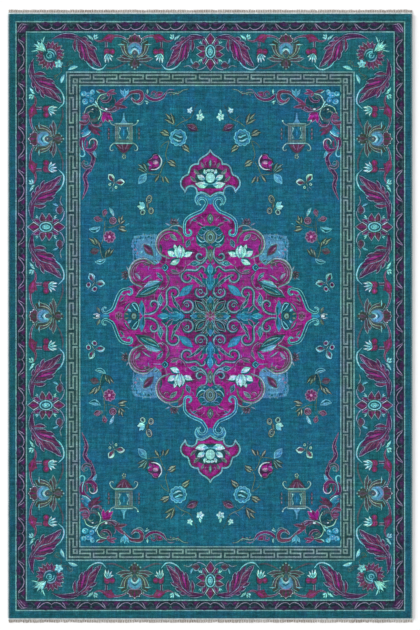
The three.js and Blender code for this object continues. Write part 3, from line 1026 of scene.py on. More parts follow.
def tall_spray():
    """The spray between pendant and lantern: stems, dull leaves, a big flower and a blue one."""
    stems(([(312, 706), (276, 700), (252, 702), (236, 740), (220, 764)], (2, 3, 3, 2.4), "sage"),
          ([(212, 772), (221, 796), (212, 838), (206, 866), (232, 852), (246, 834)],
           (2, 3, 3, 2.4, 1.6), "sage"),
          ([(226, 668), (250, 700)], (1.6, 2.4), "sage"),
          ([(172, 936), (142, 960), (112, 972), (92, 988), (84, 1010)], (2.4, 3.4, 3, 2), "sage"),
          ([(122, 930), (128, 944), (138, 956)], (1.6, 2.4, 1.6), "sky"),
          ([(124, 972), (142, 990)], (2.4, 1.4), "haze"),
          ([(92, 990), (80, 1024), (66, 1048)], (3, 2.4, 1.2), "slate"))
    for base, tip, w in (
            ((226, 694), (202, 656), 12), ((236, 692), (230, 660), 9), ((252, 698), (274, 660), 12),
            ((314, 712), (360, 752), 16), ((312, 716), (336, 760), 12), ((318, 708), (364, 730), 10)):
        spray_leaf(base, tip, w, streak="line" if base[0] > 300 else "bone")
    leaf("pool", (312, 708), (358, 650), 42)
    leaf("blue", (316, 704), (354, 656), 32, edge="aqua", rim=2.4, half="sky", ribs=2, rib="aqua")
    line("aqua", [(318, 702), (334, 680), (352, 660)], (1.2, 2.4, 1.2))
    fan((250, 780), ((304, 716, 40, "plum"), (312, 760, 30, "plum"), (284, 798, 22, "plum")), rim="grape",
        edge=1, halo=6)
    leaves(("rose", (258, 788), (284, 776), 20, 0.1), ("orchid", (288, 758), (304, 728), 16, -0.1),
           ("magenta", (284, 750), (306, 764), 16, 0.1), ("magenta", (254, 760), (284, 734), 26, -0.1),
           ("grape", (250, 788), (252, 752), 11, -0.1), ("grape", (256, 772), (294, 776), 7, 0.1),
           ("grape", (252, 744), (296, 728), 7, -0.1))
    disc("mauve", (271, 760), 14, 10)
    leaf("blush", (258, 760), (284, 754), 11)
    leaf("rose", (262, 788), (280, 778), 8)
    line("white", spiral((282, 764), 42, 40, 130, 285), (3, 5, 5.4, 5, 3))
    line("haze", [(292, 744), (304, 748), (308, 757)], (2.4, 6, 4))
    line("mauve", [(262, 800), (280, 795), (290, 780), (306, 772)], (2.4, 3, 3, 1.6))
    for base, tip, w in (
            ((170, 738), (214, 764), 22), ((170, 752), (204, 772), 12), ((102, 808), (150, 850), 22),
            ((104, 824), (138, 850), 12), ((200, 890), (252, 910), 22), ((204, 902), (238, 922), 12)):
        spray_leaf(base, tip, w)
    disc("pool", (159, 883), 48, 47)
    for reach, size, even, odd in ((31.5, 12.5, "aqua", "aqua"), (29.5, 10.5, "azure", "blue")):
        for a in range(0, 360, 36):
            c, s = math.cos(math.radians(a)), math.sin(math.radians(a))
            disc(odd if a % 72 else even, (159 + reach * c, 883 + (reach - 0.5) * s), size)
    disc("border", (159, 884), 27, 26)
    lines(("sky", [(132, 878), (134, 862), (150, 852), (168, 852), (184, 862)], (3, 5, 5, 5, 3)),
          ("sky", [(188, 872), (189, 890), (180, 904), (164, 911), (148, 908)], (3, 5, 5, 5, 3)),
          ("blue", [(130, 886), (134, 900), (146, 908)], (4, 6, 4)),
          ("aqua", [(145, 868), (156, 866), (168, 870), (182, 879)], (4, 8, 8, 5)),
          ("white", [(146, 867), (158, 866), (170, 871)], (1.4, 3, 1.4)),
          ("ink", [(138, 880), (152, 878), (166, 884), (178, 890)], (3, 5, 5, 3)),
          ("aqua", [(140, 887), (150, 884), (158, 890), (174, 896)], (5, 8, 7, 5)),
          ("white", [(142, 886), (150, 886)], (3, 3)),
          ("sky", [(146, 900), (158, 903), (170, 903)], (2, 5, 2)),
          ("teal", [(150, 860), (160, 858), (172, 862)], (2, 3.4, 2)))
    for tip, w in (((224, 1004), 15), ((198, 1006), 13), ((228, 974), 12)):
        spray_leaf((178, 946), tip, w)
    leaf("deep", (56, 914), (122, 950), 48)
    leaf("maroon", (62, 918), (116, 944), 36, bend=0.05, edge="slate", rim=2.4, half="grape")
    leaf("crimson", (78, 934), (112, 946), 18, bend=-0.05, half="maroon", edge="mauve", rim=1.6)
    line("mauve", [(66, 934), (82, 944), (90, 950)], (1.2, 3, 1.2))
    line("mauve", [(72, 922), (92, 928), (108, 938)], (1, 2.4, 1))
    for (x, y), r in (((50, 986), 19), ((101, 1017), 13)):
        disc("pool", (x, y), r * 0.9)
        petals("mint", (x, y), 0, r, r * 0.72, (30, 112, 190, 258, 322), edge="aqua", rim=1.4,
               blunt=0.3, half="white")
        petals("aqua", (x, y), 2, r * 0.6, 2.2, (30, 112, 190, 258, 322))
        disc("sky", (x, y), r * 0.14)
    leaf("aqua", (54, 994), (47, 1024), 12, edge="pool", rim=2, half="mint")
    leaf("mint", (100, 1020), (90, 1036), 7)


def lantern():
    """A lantern with a ring, a red roof, a banded body and a pointed foot, leaves at its sides."""
    with placed((428, 0)):
        shape("pool", [(0, 796), (20, 804), (46, 846), (56, 850), (52, 960), (22, 962), (10, 1012),
                       (-10, 1012), (-22, 962), (-52, 960), (-56, 850), (-46, 846), (-20, 804)])
        rect("border", -45, 858, 45, 958)
        for side in (1, -1):
            with placed((0, 0), (side, 0), (0, 1)):
                curl = [(40, 857), (54, 852), (64, 842), (69, 829), (64, 819), (54, 819), (52, 827)]
                coats(curl, ("ink", (8, 9, 9, 9, 8, 6)), ("line", (5.5, 5.5, 5, 5, 4, 2.4)))
                line("mint", curl[1:5], (1, 2, 2, 1))
                coats([(42, 944), (56, 947), (66, 956), (70, 966)],
                      ("ink", (8, 9, 8, 7)), ("line", (5, 5.6, 5, 4)))
                disc("mint", (70, 966), 4)
                rect("slate", 28, 868, 43, 940)
                for x, yarn, w in ((27.5, "key", 2.6), (33, "sage", 3), (39.5, "key", 3.4)):
                    rect(yarn, x, 870, x + w, 938)
                line("line", [(22, 878), (19, 888), (25, 900), (22, 914), (17, 926), (21, 934)],
                     (4, 5.4, 2.6, 2.6, 5.4, 4))
                discs(("line", (14, 881), 3, 4), ("mint", (21, 884), 2.4, 3),
                      ("mint", (19, 929), 2.4, 3), ("line", (10, 932), 3.4, 3))
        shape("ink", [(0, 803), (14, 808), (30, 826), (46, 850, 1), (-46, 850, 1), (-30, 826),
                      (-14, 808)])
        shape("maroon", [(0, 807), (12, 812), (26, 828), (40, 849, 1), (-40, 849, 1), (-26, 828),
                         (-12, 812)])
        for k in range(-4, 5):
            line(("ruby", "mauve", "plum")[k % 3], [(k * 3.4, 818 + abs(k) * 3), (k * 8.6, 848)],
                 (2, 3.4))
        line("plum", [(-20, 826), (0, 815), (20, 826)], (2, 5, 2))
        for yarn, reach, y0, y1 in (
                ("line", 47, 852, 858.5), ("mint", 40, 853, 855), ("sage", 43, 864, 868),
                ("slate", 42, 869, 873), ("sage", 44, 938, 943), ("slate", 42, 944, 948),
                ("line", 46, 949, 954.5), ("mint", 38, 950, 952)):
            rect(yarn, -reach, y0, reach, y1)
        rect("field", -13, 874, 13, 936)
        leaf("azure", (0, 888), (0, 926), 9)
        shape("sky", [(-18, 956, 1), (18, 956, 1), (7, 972), (3.6, 998, 1), (-3.6, 998, 1),
                      (-7, 972)])
        line("aqua", [(-10, 958), (-2, 970), (0, 992)], (1.6, 3, 1.4))
        disc("sky", (0, 1001), 4)
        leaf("sage", (-10, 800), (10, 800), 8)
        coats(spiral((-1, 788), 8, 8, -90, 269), ("ink", 8), ("sage", 4.4))
        for k in range(5):
            disc("mint", (-1 + 8 * math.cos(1.26 * k), 788 + 8 * math.sin(1.26 * k)), 2)
    for x in (353, 503):
        for y, w in ((882, 9), (902, 12), (922, 9)):
            leaf("deep", (x, y - 15), (x, y + 15), w + 6)
            leaf("maroon" if x > 400 else "slate", (x, y - 12), (x, y + 12), w, half="slate")
            leaf("mauve", (x - 2, y - 6), (x, y + 6), 3)
    for x in (374, 482):
        leaves(("teal", (x, 876), (x + 2, 950), 11), ("ink", (x, 880), (x - 3, 940), 5))


def field():
    rect("pool", 636, -9, 642, 1137.5)
    rect("pool", -9, 1131.5, 642, 1137.5)
    medallion_ground()
    centre_rosette()
    arabesque()
    lily()
    axis_ornament()
    with placed((152, 300)):
        lotus()
    lobes()
    knot()
    small_blossoms()
    outline_scrolls()
    pendant()
    spandrel_side()
    spandrel_rings()
    corner_blossom()
    spandrel_end()
    butterflies()
    spray_by_the_side()
    tall_spray()
    lantern()


YARN = {
    "petrol": (26, 86, 104),
    "border": (31, 94, 109),
    "field": (28, 96, 124),
    "pool": (24, 88, 112),
    "line": (122, 162, 170),
    "haze": (128, 148, 176),
    "mauve": (142, 116, 152),
    "aqua": (118, 192, 212),
    "sky": (88, 152, 190),
    "blue": (54, 122, 168),
    "azure": (48, 138, 178),
    "magenta": (157, 30, 128),
    "orchid": (148, 38, 134),
    "wine": (116, 30, 94),
    "steel": (86, 138, 180),
    "ruby": (120, 52, 86),
    "heather": (150, 132, 164),
    "blush": (214, 150, 192),
    "bone": (156, 168, 154),
    "umber": (58, 66, 62),
    "rose": (156, 44, 128),
    "crimson": (117, 53, 94),
    "maroon": (90, 54, 74),
    "plum": (84, 42, 84),
    "grape": (60, 38, 74),
    "night": (32, 44, 58),
    "ink": (42, 70, 78),
    "deep": (24, 74, 86),
    "key": (124, 144, 150),
    "mint": (164, 222, 216),
    "white": (206, 216, 232),
    "sage": (104, 128, 116),
    "teal": (24, 90, 106),
    "slate": (72, 92, 104),
    "taupe": (88, 78, 94),
}


def bands():
    """The grounds of the borders and the field, each a rectangle of half width x and half length y."""
    for yarn, x, y in (
            ("petrol", 1000, 1495), ("line", 964, 1459), ("night", 958.5, 1453.5),
            ("line", 912.5, 1408.5), ("border", 907, 1403), ("line", 714, 1210), ("ink", 708.5, 1204.5),
            ("line", 648.5, 1144), ("field", 643, 1138.5)):
        rect(yarn, -9, -9, x, y)


# ---------------------------------------------------------------- key border
def key_border():
    """One unbroken meander from the end's middle round the corner to the side's middle."""
    inner, centre, outer = 1156, 1174, 1192      # its three lines along the end
    first, pitch, turns, back, over = 5, 130.5, 5, 67, 181
    path = [(-9, outer), (53, outer), (53, centre), (first, centre)]
    for k in range(turns):
        x = first + pitch * k
        run = 115 if k < turns - 1 else 118
        path += [(x, inner), (x + run, inner), (x + run, centre), (x + back, centre), (x + back, outer)]
        if k < turns - 1:
            path += [(x + over, outer), (x + over, centre), (x + pitch, centre)]
    inner, centre, corner, outer = 660.5, 678.5, outer, 696.5      # and along the side
    path += [(outer, corner)]
    first, pitch, turns, back, over = 8, 145, 8, 78, 203
    for k in reversed(range(turns)):
        y = first + pitch * k
        run = 130 if k < turns - 1 else 119
        if k < turns - 1:
            path += [(outer, y + over)]
        path += [(outer, y + back), (centre, y + back),
                 (centre, y + run), (inner, y + run), (inner, y), (centre, y)]
        if k:
            path += [(centre, y - pitch + over)]
    path += [(centre, 64), (outer, 64), (outer, -9)]
    line("key", [(x, y, 1) for x, y in path], 7)
    # a square with a dark middle in the corner
    for yarn, half in (("key", 12.5), ("ink", 5)):
        rect(yarn, 668 - half, 1164 - half, 668 + half, 1164 + half)


# ---------------------------------------------------------------- guard border
def guard_half():
    """Half of a repeat, from its middle outwards."""
    leaves(("grape", (52, 4), (92, 20), 22), ("plum", (62, 8), (84, 17), 9, -0.1),
           ("wine", (66, 8), (80, 13), 4, -0.1), ("grape", (4, 38), (54, 40), 24, -0.14),
           ("plum", (16, 33), (38, 31), 6, -0.1), ("slate", (0, 22), (7, 38), 6, 0.2))
    line("slate", [(84, 22), (91, 13), (98, 10)], (3, 3.4, 3))
    leaf("ink", (92, 26), (98, 36), 6)
    line("heather", [(0, 20, 1), (6, 13), (16, 9), (30, 9), (44, 15), (56, 26), (66, 35), (76, 37)],
         (2.4, 3.2, 3.6, 4, 3.6, 3))
    line("heather", [(54, 8), (62, 16), (67, 27), (72, 33)], (2, 3.2, 3.4, 2))
    line("slate", [(74, 37), (100, 37)], 3.2)


def guard_border():
    """A running row of leaves and curls; along the side they are drawn a little longer."""
    end_pitch, side_pitch = 196.5, 215
    for k in range(5):
        for side in (1, -1):
            with placed((k * end_pitch, 1409), (side, 0), (0, 1)):
                guard_half()
    rate = side_pitch / end_pitch
    for k in range(7):
        for side in (1, -1):
            with placed((913, k * side_pitch), (0, side * rate), (1, 0)):
                guard_half()
    # the leaf across the corner
    leaf("grape", (898, 1440), (952, 1402), 36)
    leaf("plum", (910, 1434), (944, 1406), 18)
    line("slate", [(880, 1445), (922, 1445)], 4)
    line("mauve", [(908, 1443), (924, 1443), (936, 1430), (954, 1406)], (3, 4.4, 4.4, 3.6))
    line("mauve", [(924, 1447), (934, 1446), (948, 1430), (953, 1414)], (3, 4, 4, 3))
    line("mauve", [(916, 1434), (934, 1416), (944, 1404)], (2.4, 3.6, 2.4))


# ---------------------------------------------------------------- main border
def palmette():
    """A lotus seen from the side: swept, dull petals round a blue heart with a bright crescent."""
    for flip in (1, -1):
        with placed((0, -3), (1, 0), (0, flip)):
            # two upright petals
            for base, tip, w, core in (
                    ((53, 2), (63, 90), 24, "taupe"), ((64, 10), (77, 70), 18, "maroon")):
                leaf("umber", base, tip, w + 6, fat=0.6)
                leaf(core, base, tip, w - 3, edge="line", rim=2.4, fat=0.6)
                leaf("umber", base, tip, 4)
            # the broad one, in long swept streaks
            line("umber", [(68, 8), (78, 34), (100, 50), (140, 54)], (18, 24, 34, 30))
            lines(("line", [(66, 14), (74, 36), (88, 54), (108, 64), (130, 71)], (2, 3, 3.6, 3.6, 2.4)),
                  ("taupe", [(72, 20), (82, 40), (104, 54), (132, 60)], (3, 6, 7, 4)),
                  ("bone", [(70, 14), (80, 34), (98, 47), (132, 53)], (2, 2.6, 3.6, 2)),
                  ("slate", [(74, 12), (86, 32), (108, 40), (140, 41)], (3, 5, 4, 3)),
                  ("line", [(74, 8), (88, 27), (110, 34), (142, 34)], (2, 2.6, 2.6, 2)),
                  ("line", [(141, 34), (146, 48), (153, 60)], (2, 3, 2)),
                  ("bone", [(148, 34), (156, 44), (162, 45)], (2, 3, 1.6)))
            leaf("umber", (131, 46), (132, 88), 11)
            leaf("line", (131, 48), (132, 86), 6.4, half="aqua")
    with placed((0, -3)):
        # the outer bud, with a jagged rim
        fan((142, 0), [(184, 0, 24, "maroon")] + [(x, y * side, w, "maroon") for side in (1, -1)
                                                   for x, y, w in ((175, 22, 24), (161, 34, 26))],
            rim="haze", ground="umber", edge=2.6, fat=0.64)
        leaf("umber", (140, -4), (172, -14), 9)
        leaf("umber", (140, 6), (172, 13), 9)
        leaf("wine", (150, 0), (178, 0), 8)
        for x, y in ((161, 34), (175, 23), (184, 0), (175, -23), (161, -34)):
            disc("white", (x, y), 2.8)
        # the inner bud
        leaf("umber", (72, 0), (6, 0), 46, fat=0.6)
        leaves(("umber", (60, 0), (32, 28), 18), ("umber", (60, 0), (32, -28), 18))
        leaf("taupe", (64, 0), (17, 0), 28, fat=0.6)
        leaves(("maroon", (24, 2), (54, 1), 10), ("umber", (27, -6), (54, -5), 5))
        for x, y, r in ((11, 0, 4.6), (21, -14, 4.2), (21, 14, 4.2), (33, -28, 4), (33, 28, 4)):
            disc("line", (x, y), r, r * 0.9)
        # the heart
        disc("steel", (110, 0), 33, 35)
        line("mauve", [(116, -33), (134, -22), (143, 0), (134, 22), (116, 32)], (1.4, 4, 5, 4, 1.4))
        line("sky", [(92, -27), (112, -27), (126, -14), (130, 2), (124, 16), (108, 26)],
             (2, 5, 6, 6, 5, 2))
        line("teal", [(112, -17), (121, 0), (112, 15)], (4, 7, 4))
        disc("slate", (84, 0), 21, 18)
        for side in (1, -1):
            leaf("sage", (64, 6 * side), (88, 20 * side), 7)
            leaf("teal", (66, 2 * side), (86, 11 * side), 6)
        discs(("taupe", (90, 0), 7), ("bone", (90, 0), 3))
        line("aqua", [(87, -20), (99, -17), (108, -8), (111, 0), (108, 8), (99, 16), (87, 17)],
             (3, 7, 9, 10, 9, 7, 3))
        line("white", [(96, -15), (105, -8), (109, 0), (105, 8), (96, 14)], (1, 4, 5, 4, 1))


def rosette():
    """A flower of pointed red petals round a blue oval, with pale blades between them."""
    for flip in (1, -1):
        with placed((0, 0), (1, 0), (0, flip)):
            blades((((62, 34), (46, 60), 8, -0.1), ((68, 40), (42, 48), 7, 0),
                    ((134, 34), (146, 60), 8, 0.1), ((128, 40), (152, 50), 7, 0)), halo=4)
            # two pairs of petals, each a pale pointed arch over dark red
            for points, core in (
                    ([(64, 18), (44, 28), (36, 36, 1), (52, 38), (66, 32), (72, 26)], 0),
                    ([(132, 18), (150, 26), (160, 36, 1), (144, 40), (130, 34), (124, 26)], 0),
                    ([(66, 28), (66, 44), (74, 56), (83, 68, 1), (92, 54), (98, 42), (96, 28)], 1),
                    ([(102, 28), (100, 42), (106, 56), (118, 70, 1), (126, 54), (130, 42), (126, 28)], 1)):
                shape("deep", points, "deep", 9)
                shape("maroon" if core else "plum", points, "haze" if core else "mauve", 3)
            leaves(("wine", (82, 30), (82, 58), 15), ("maroon", (114, 30), (117, 60), 15),
                   ("grape", (76, 30), (75, 50), 6), ("grape", (122, 30), (124, 52), 6),
                   ("crimson", (86, 32), (86, 50), 5), ("crimson", (112, 34), (113, 54), 5),
                   ("wine", (66, 26), (46, 32), 6), ("wine", (130, 26), (150, 32), 6))
            leaf("rose", (98, 26), (98, 44), 6)
            line("line", [(91, 56), (98, 44, 1), (105, 56)], (2, 3, 2))
    for x in (3, 190):
        sign, wide = (1, 33) if x < 90 else (-1, 30)
        outline = [(x, 0, 1), (x + sign * 14, -12), (x + sign * wide, -24, 1), (x + sign * 56, -8),
                   (x + sign * 56, 8), (x + sign * wide, 24, 1), (x + sign * 14, 12)]
        shape("deep", outline, "deep", 9)
        shape("maroon", outline, "haze", 3.2)
        leaf("wine", (x + sign * 54, 0), (x + sign * 12, 0), 22)
        for y in (-10, 9):
            leaf("grape" if y < 0 else "crimson", (x + sign * 50, y * 0.4), (x + sign * 22, y), 6)
        for y in (-1, 1):
            line("white", [(x + sign * wide, y * 24), (x + sign * (wide + 12), y * 15),
                           (x + sign * (wide + 22), y * 9)], (3, 3.6, 1.6))
    for rx, ry, yarn in ((37, 29, "ink"), (33.5, 25.5, "line"), (32, 24, "aqua"), (27.5, 19.5, "teal"),
                         (23, 15, "ink")):
        disc(yarn, (98, 0), rx, ry)
    shape("aqua", [(77, 0), (86, -10), (100, -12), (119, 0), (102, 12), (86, 10)])
    for x in (84, 96, 108):
        line("teal", [(x, -7), (x + 6, 0, 1), (x, 7)], (1.2, 3.4, 1.2))
    disc("mint", (99, 0), 3.4, 3)
    line("white", [(80, 18), (98, 22.5), (116, 18)], (0.8, 2, 0.8))


def bell_flower():
    """A flower on a curved stalk, with pale stamens, and a second tuft at the stalk's foot."""
    # the stalk, the branch to the tuft and the tail
    coats([(146, 30), (158, 42), (170, 68), (175, 95), (173, 119), (166, 140)],
          ("deep", (9, 13, 16, 18, 22, 26)), ("haze", (5, 9, 11, 13, 16, 20)),
          ("plum", (1, 4, 6, 8, 11, 15)), ("ruby", (0.6, 2, 3, 5, 8, 12)))
    coats([(156, 159), (130, 158), (104, 160)],
          ("deep", (24, 20, 22)), ("haze", (18, 14.5, 16)), ("taupe", (12, 9, 10)), ("plum", (5, 4, 4)))
    coats([(166, 150), (154, 174), (148, 194), (150, 210), (157, 226)],
          ("deep", (30, 22, 17, 14, 9)), ("mauve", (22, 15, 11, 8, 4)), ("maroon", (16, 10, 7, 4, 1)),
          ("ruby", (10, 5, 3, 1, 0.5)))
    # the calyx on the stalk and the flower's cup
    for grow, yarn in ((3, "plum"), (0, "ruby")):
        leaf(yarn, (178, 108 - grow), (158, 178 + grow), 34 + 2 * grow, bend=0.08)
        leaf(yarn, (170, 156), (143 - grow, 128 - grow), 16 + 2 * grow)
    leaf("rose", (160, 166), (173, 130), 9)
    leaf("plum", (158, 148), (150, 134), 5)
    for grow, yarn in ((8, "deep"), (2, "plum"), (0, "ruby")):
        discs((yarn, (97, 125), 13 + grow, 14 + grow), (yarn, (98, 154), 14 + grow, 16 + grow))
        leaf(yarn, (110, 158), (66 - grow, 169 + grow * 0.4), 16 + 2 * grow, bend=0.1)
    leaf("rose", (96, 134), (97, 114), 9)
    line("plum", [(88, 139), (98, 142), (106, 139)], (1.5, 4, 1.5))
    line("rose", [(98, 146), (98, 158), (88, 165)], (1.5, 4, 1))
    for tip, w, bend in (((71, 117), 11, -0.12), ((50, 126), 12, 0.05), ((42, 146), 10, 0.08),
                         ((41, 163), 13, -0.12), ((58, 172), 8, -0.08)):
        leaf("deep", (88, 154), tip, w + 6, bend=bend)
        leaf("aqua", (88, 154), tip, w, bend=bend, half="mint")
        leaf("white", (44 + tip[0] / 2, 77 + tip[1] / 2), tip, w * 0.42, bend=bend * 0.5)
    for tip in ((60, 140), (58, 155)):
        leaf("teal", (84, 152), tip, 4)
    blades((((158, 226), (182, 208), 12, 0.15), ((160, 226), (170, 204), 10, -0.1),
            ((162, 228), (184, 226), 10, -0.1), ((152, 232), (180, 268), 12, -0.1),
            ((158, 232), (172, 246), 9, 0.1)), "mint", "aqua")


def acanthus(bud=1, reach=0):
    """A curled acanthus leaf, cut into lobes on both sides, that ends in a hooked tip.

    bud adds a bud on a stalk beyond it, and reach lengthens the tip.
    """
    line("deep", [(48, 40), (28, 80), (17, 120), (18, 158)], (8, 11, 12, 8))
    double("slate", "taupe", [(46, 40), (26, 80), (14, 120), (16, 158)], (5, 8, 9, 5), 2)
    lobes = (((66, 250), (22, 188), 22, 0.1), ((82, 256), (50, 202), 17, 0.1),
             ((98, 262), (74, 216), 16, 0.1), ((118, 270), (106, 212), 15, 0.2),
             ((140, 284), (134, 238), 16, 0.16), ((160, 306), (158, 264), 16, 0.1),
             ((96, 282), (46, 268), 20, -0.1), ((120, 296), (58, 294), 22, -0.16),
             ((146, 312), (92, 312), 16, -0.1), ((166, 332), (98, 334), 17, -0.16))
    for over, grow in (("deep", 8), ("haze", 3.4), ("plum", 0.4)):
        for base, tip, w, bend in lobes:
            far = 1 + grow / math.dist(base, tip)
            tip = (base[0] + (tip[0] - base[0]) * far, base[1] + (tip[1] - base[1]) * far)
            leaf(over, base, tip, w + 2 * grow, bend=bend, fat=0.56)
        leaf(over, (30, 204), (172, 330), 48 + 2 * grow, bend=-0.08, fat=0.46)
        leaf(over, (22, 234), (150, 320), 46 + 2 * grow, bend=-0.04, fat=0.5)
        leaf(over, (148, 286), (158, 418 + 50 * reach + grow), 24 + 2 * grow, bend=-0.25, fat=0.4)
    for base, tip, w, yarn in (
            ((78, 258), (34, 208), 12, "crimson"), ((92, 262), (56, 216), 10, "ruby"),
            ((106, 266), (80, 230), 9, "crimson"), ((120, 272), (102, 228), 11, "ruby"),
            ((140, 286), (120, 246), 11, "crimson"), ((156, 302), (136, 256), 12, "ruby"),
            ((168, 326), (156, 276), 11, "plum"), ((116, 276), (62, 240), 9, "wine"),
            ((134, 302), (44, 254), 17, "crimson"), ((118, 282), (48, 232), 12, "ruby"),
            ((146, 300), (62, 276), 13, "magenta"), ((150, 308), (72, 300), 12, "ruby"),
            ((160, 322), (104, 316), 8, "grape"), ((168, 336), (112, 332), 9, "ruby")):
        leaf(yarn, base, tip, w, bend=0.08 if tip[1] < base[1] - 30 else -0.08)
    lines(("grape", [(44, 262), (96, 279), (152, 306)], (4, 6, 1)),
          ("grape", [(60, 303), (110, 304), (150, 314)], (3, 5, 1)),
          ("grape", [(150, 272), (177, 336), (170, 408)], (2, 8, 3)),
          ("grape", [(84, 240), (92, 254), (106, 264)], (4, 3.4, 1)),
          ("grape", [(56, 222), (72, 244), (90, 256)], (3.4, 3, 1)),
          ("haze", [(30, 200), (66, 252), (130, 277), (170, 334)], (1, 3, 3.2, 1)),
          ("mauve", [(40, 212), (56, 236), (76, 250)], (1, 2.2, 1)),
          ("mauve", [(62, 216), (78, 242), (100, 262)], (1, 2.4, 1)),
          ("mauve", [(108, 232), (124, 256), (144, 278)], (1, 2.8, 1)),
          ("mauve", [(130, 252), (148, 276), (162, 304)], (1, 2.4, 1)),
          ("mauve", [(56, 284), (84, 290), (112, 292)], (1, 2.4, 1)),
          ("mauve", [(112, 322), (140, 322), (160, 330)], (1, 2.2, 1)),
          ("mauve", [(160, 290), (171, 320), (174, 356)], (1, 2.6, 1)))
    coats([(36, 157), (11, 184), (9, 212), (26, 252), (50, 273)],
          ("deep", (7, 11, 11, 10, 8, 5)), ("aqua", (3, 6, 7.5, 7, 5, 2.4)))
    line("white", [(16, 178), (10, 200), (12, 222), (20, 242)], (0.8, 2, 2, 0.8))
    if not bud:
        return
    coats([(22, 287), (28, 314), (13, 344), (8, 374), (17, 402), (36, 423)],
          ("deep", (6, 9, 10, 10, 10, 8)), ("haze", (2.4, 4.4, 5, 5, 5, 4)))
    leaf("deep", (28, 326), (28, 384), 44)
    leaf("taupe", (28, 330), (28, 380), 31, edge="deep", rim=2, half="maroon", ribs=3, rib="slate")
    leaf("maroon", (26, 344), (30, 376), 13, half="plum")
    line("haze", spiral((28, 358), 20, 20, -70, 80), (2.4, 4.6, 4, 2))
    line("haze", spiral((32, 357), 19, 19, 230, 130), (1.4, 3, 1.4))
    leaf("deep", (36, 342), (68, 328), 16, bend=-0.2)
    leaf("aqua", (36, 341), (66, 327), 11, bend=-0.22, half="sky")
    line("sage", [(22, 290), (28, 316)], (3.4, 1.6))


def crescent():
    """A ragged half-ring of dull red leaves round part of the corner flower."""
    for grow, over in ((4, "umber"), (1.8, "haze"), (0, None)):
        for k in range(8):
            a = math.radians(-116 + 19 * k)
            r = 58 + 16 * math.sin(math.pi * (k + 1) / 9) + 1.6 * grow
            leaf(over or ("ruby", "plum", "crimson", "maroon")[k % 4],
                 (26 * math.cos(a), 26 * math.sin(a)), (r * math.cos(a), r * math.sin(a)), 19 + 2 * grow)
    for k in range(8):
        a = math.radians(-112 + 19 * k)
        leaf("mauve", (38 * math.cos(a), 38 * math.sin(a)), (54 * math.cos(a), 54 * math.sin(a)), 3.6)


def corner_flower():
    """A round flower between two ragged half-rings, with pale sprays towards the corners."""
    for turn in (0, 180):
        with turned((793, 1290), turn):
            crescent()
    for x, y in ((728, 1280), (725, 1299), (729, 1318), (734, 1336)):
        leaf("line", (x + 8, y - 2), (x - 3, y + 1), 7)
    disc("deep", (793, 1290), 36)
    disc("teal", (793, 1290), 27)
    for start in (-120, 60):
        line("haze", spiral((793, 1290), 31, 31, start, start + 120), (2, 5, 6, 6, 3))
    for points, wide in (
            (spiral((793, 1290), 21, 15, 200, 20), (1.5, 4, 4, 2)),
            (spiral((794, 1290), 18, 8, 20, -200), (2, 4.4, 4.4, 2)),
            (spiral((794, 1291), 9, 2, 60, 420), (2, 4, 4, 2)),
            ([(776, 1296), (790, 1308), (808, 1312), (822, 1322)], (2, 5, 5, 3))):
        line("aqua", points, wide)
    foot = (832, 1332)
    blades(((foot, (888, 1310), 6, -0.2), (foot, (882, 1336), 5, 0.05), (foot, (877, 1348), 5, 0),
            (foot, (838, 1374), 5, 0.05), (foot, (817, 1386), 6, -0.14), (foot, (850, 1370), 5, 0)))
    leaf("deep", (804, 1302), (872, 1366), 44)
    for tip, w, bend in (((866, 1326), 16, 0.12), ((872, 1346), 17, 0.05), ((858, 1362), 16, -0.05),
                         ((836, 1358), 14, -0.12)):
        leaf("aqua", (811, 1309), tip, w, bend=bend, edge="teal", rim=1.2, half="mint")
    around = range(20, 380, 72)
    petals("deep", (749, 1247), 0, 24, 22, around)
    petals("mint", (749, 1247), 0, 20, 14, around, edge="aqua", rim=1.6, half="aqua", blunt=0.3)
    disc("teal", (749, 1247), 3)
    for points in ([(742, 1230), (736, 1212), (748, 1196)] + spiral((757, 1180), 10, 8, 0, -200),
                   [(736, 1236), (708, 1236), (694, 1248)] + spiral((690, 1256), 9, 8, 60, 300),
                   [(750, 1196), (772, 1188), (768, 1174)], [(708, 1238), (704, 1256), (694, 1262)]):
        coats(points, ("deep", (5, 6, 5)), ("sage", (1.6, 2.2, 1.4)))
        line("maroon", points[:2], (1, 1.8))
    for base, tip in (((722, 1194), (738, 1152)), ((656, 1234), (702, 1219))):
        leaf("deep", base, tip, 22, bend=0.12)
        leaf("aqua", base, tip, 15, bend=0.12, edge="sky", rim=1.6, half="mint")


def main_border():
    side, end, middle = 715, 1211, 377   # the border's inner lines; a palmette's place on the end
    for y, rate, bud in ((0, 1.0, 1), (882, -1.0, 1), (878, 0.95, 0)):
        with placed((side, y), (1, 0), (0, rate)):
            acanthus(bud)
            bell_flower()
    for rate, bud in ((-0.857, 1), (0.87, 0)):
        with placed((middle, end), (0, 1), (rate, 0)):
            acanthus(bud, reach=0 if bud else 1)
            bell_flower()
    for y in (0, 880):
        with placed((side, y)):
            palmette()
    with placed((side, 441)):
        rosette()
    with placed((middle, end), (0, 1), (1, 0)):
        palmette()
    with placed((0, end), (0, 1), (1, 0)):
        rosette()
    corner_flower()


def draw_chart():
    layers.clear()
    bands()
    key_border()
    guard_border()
    main_border()
    field()


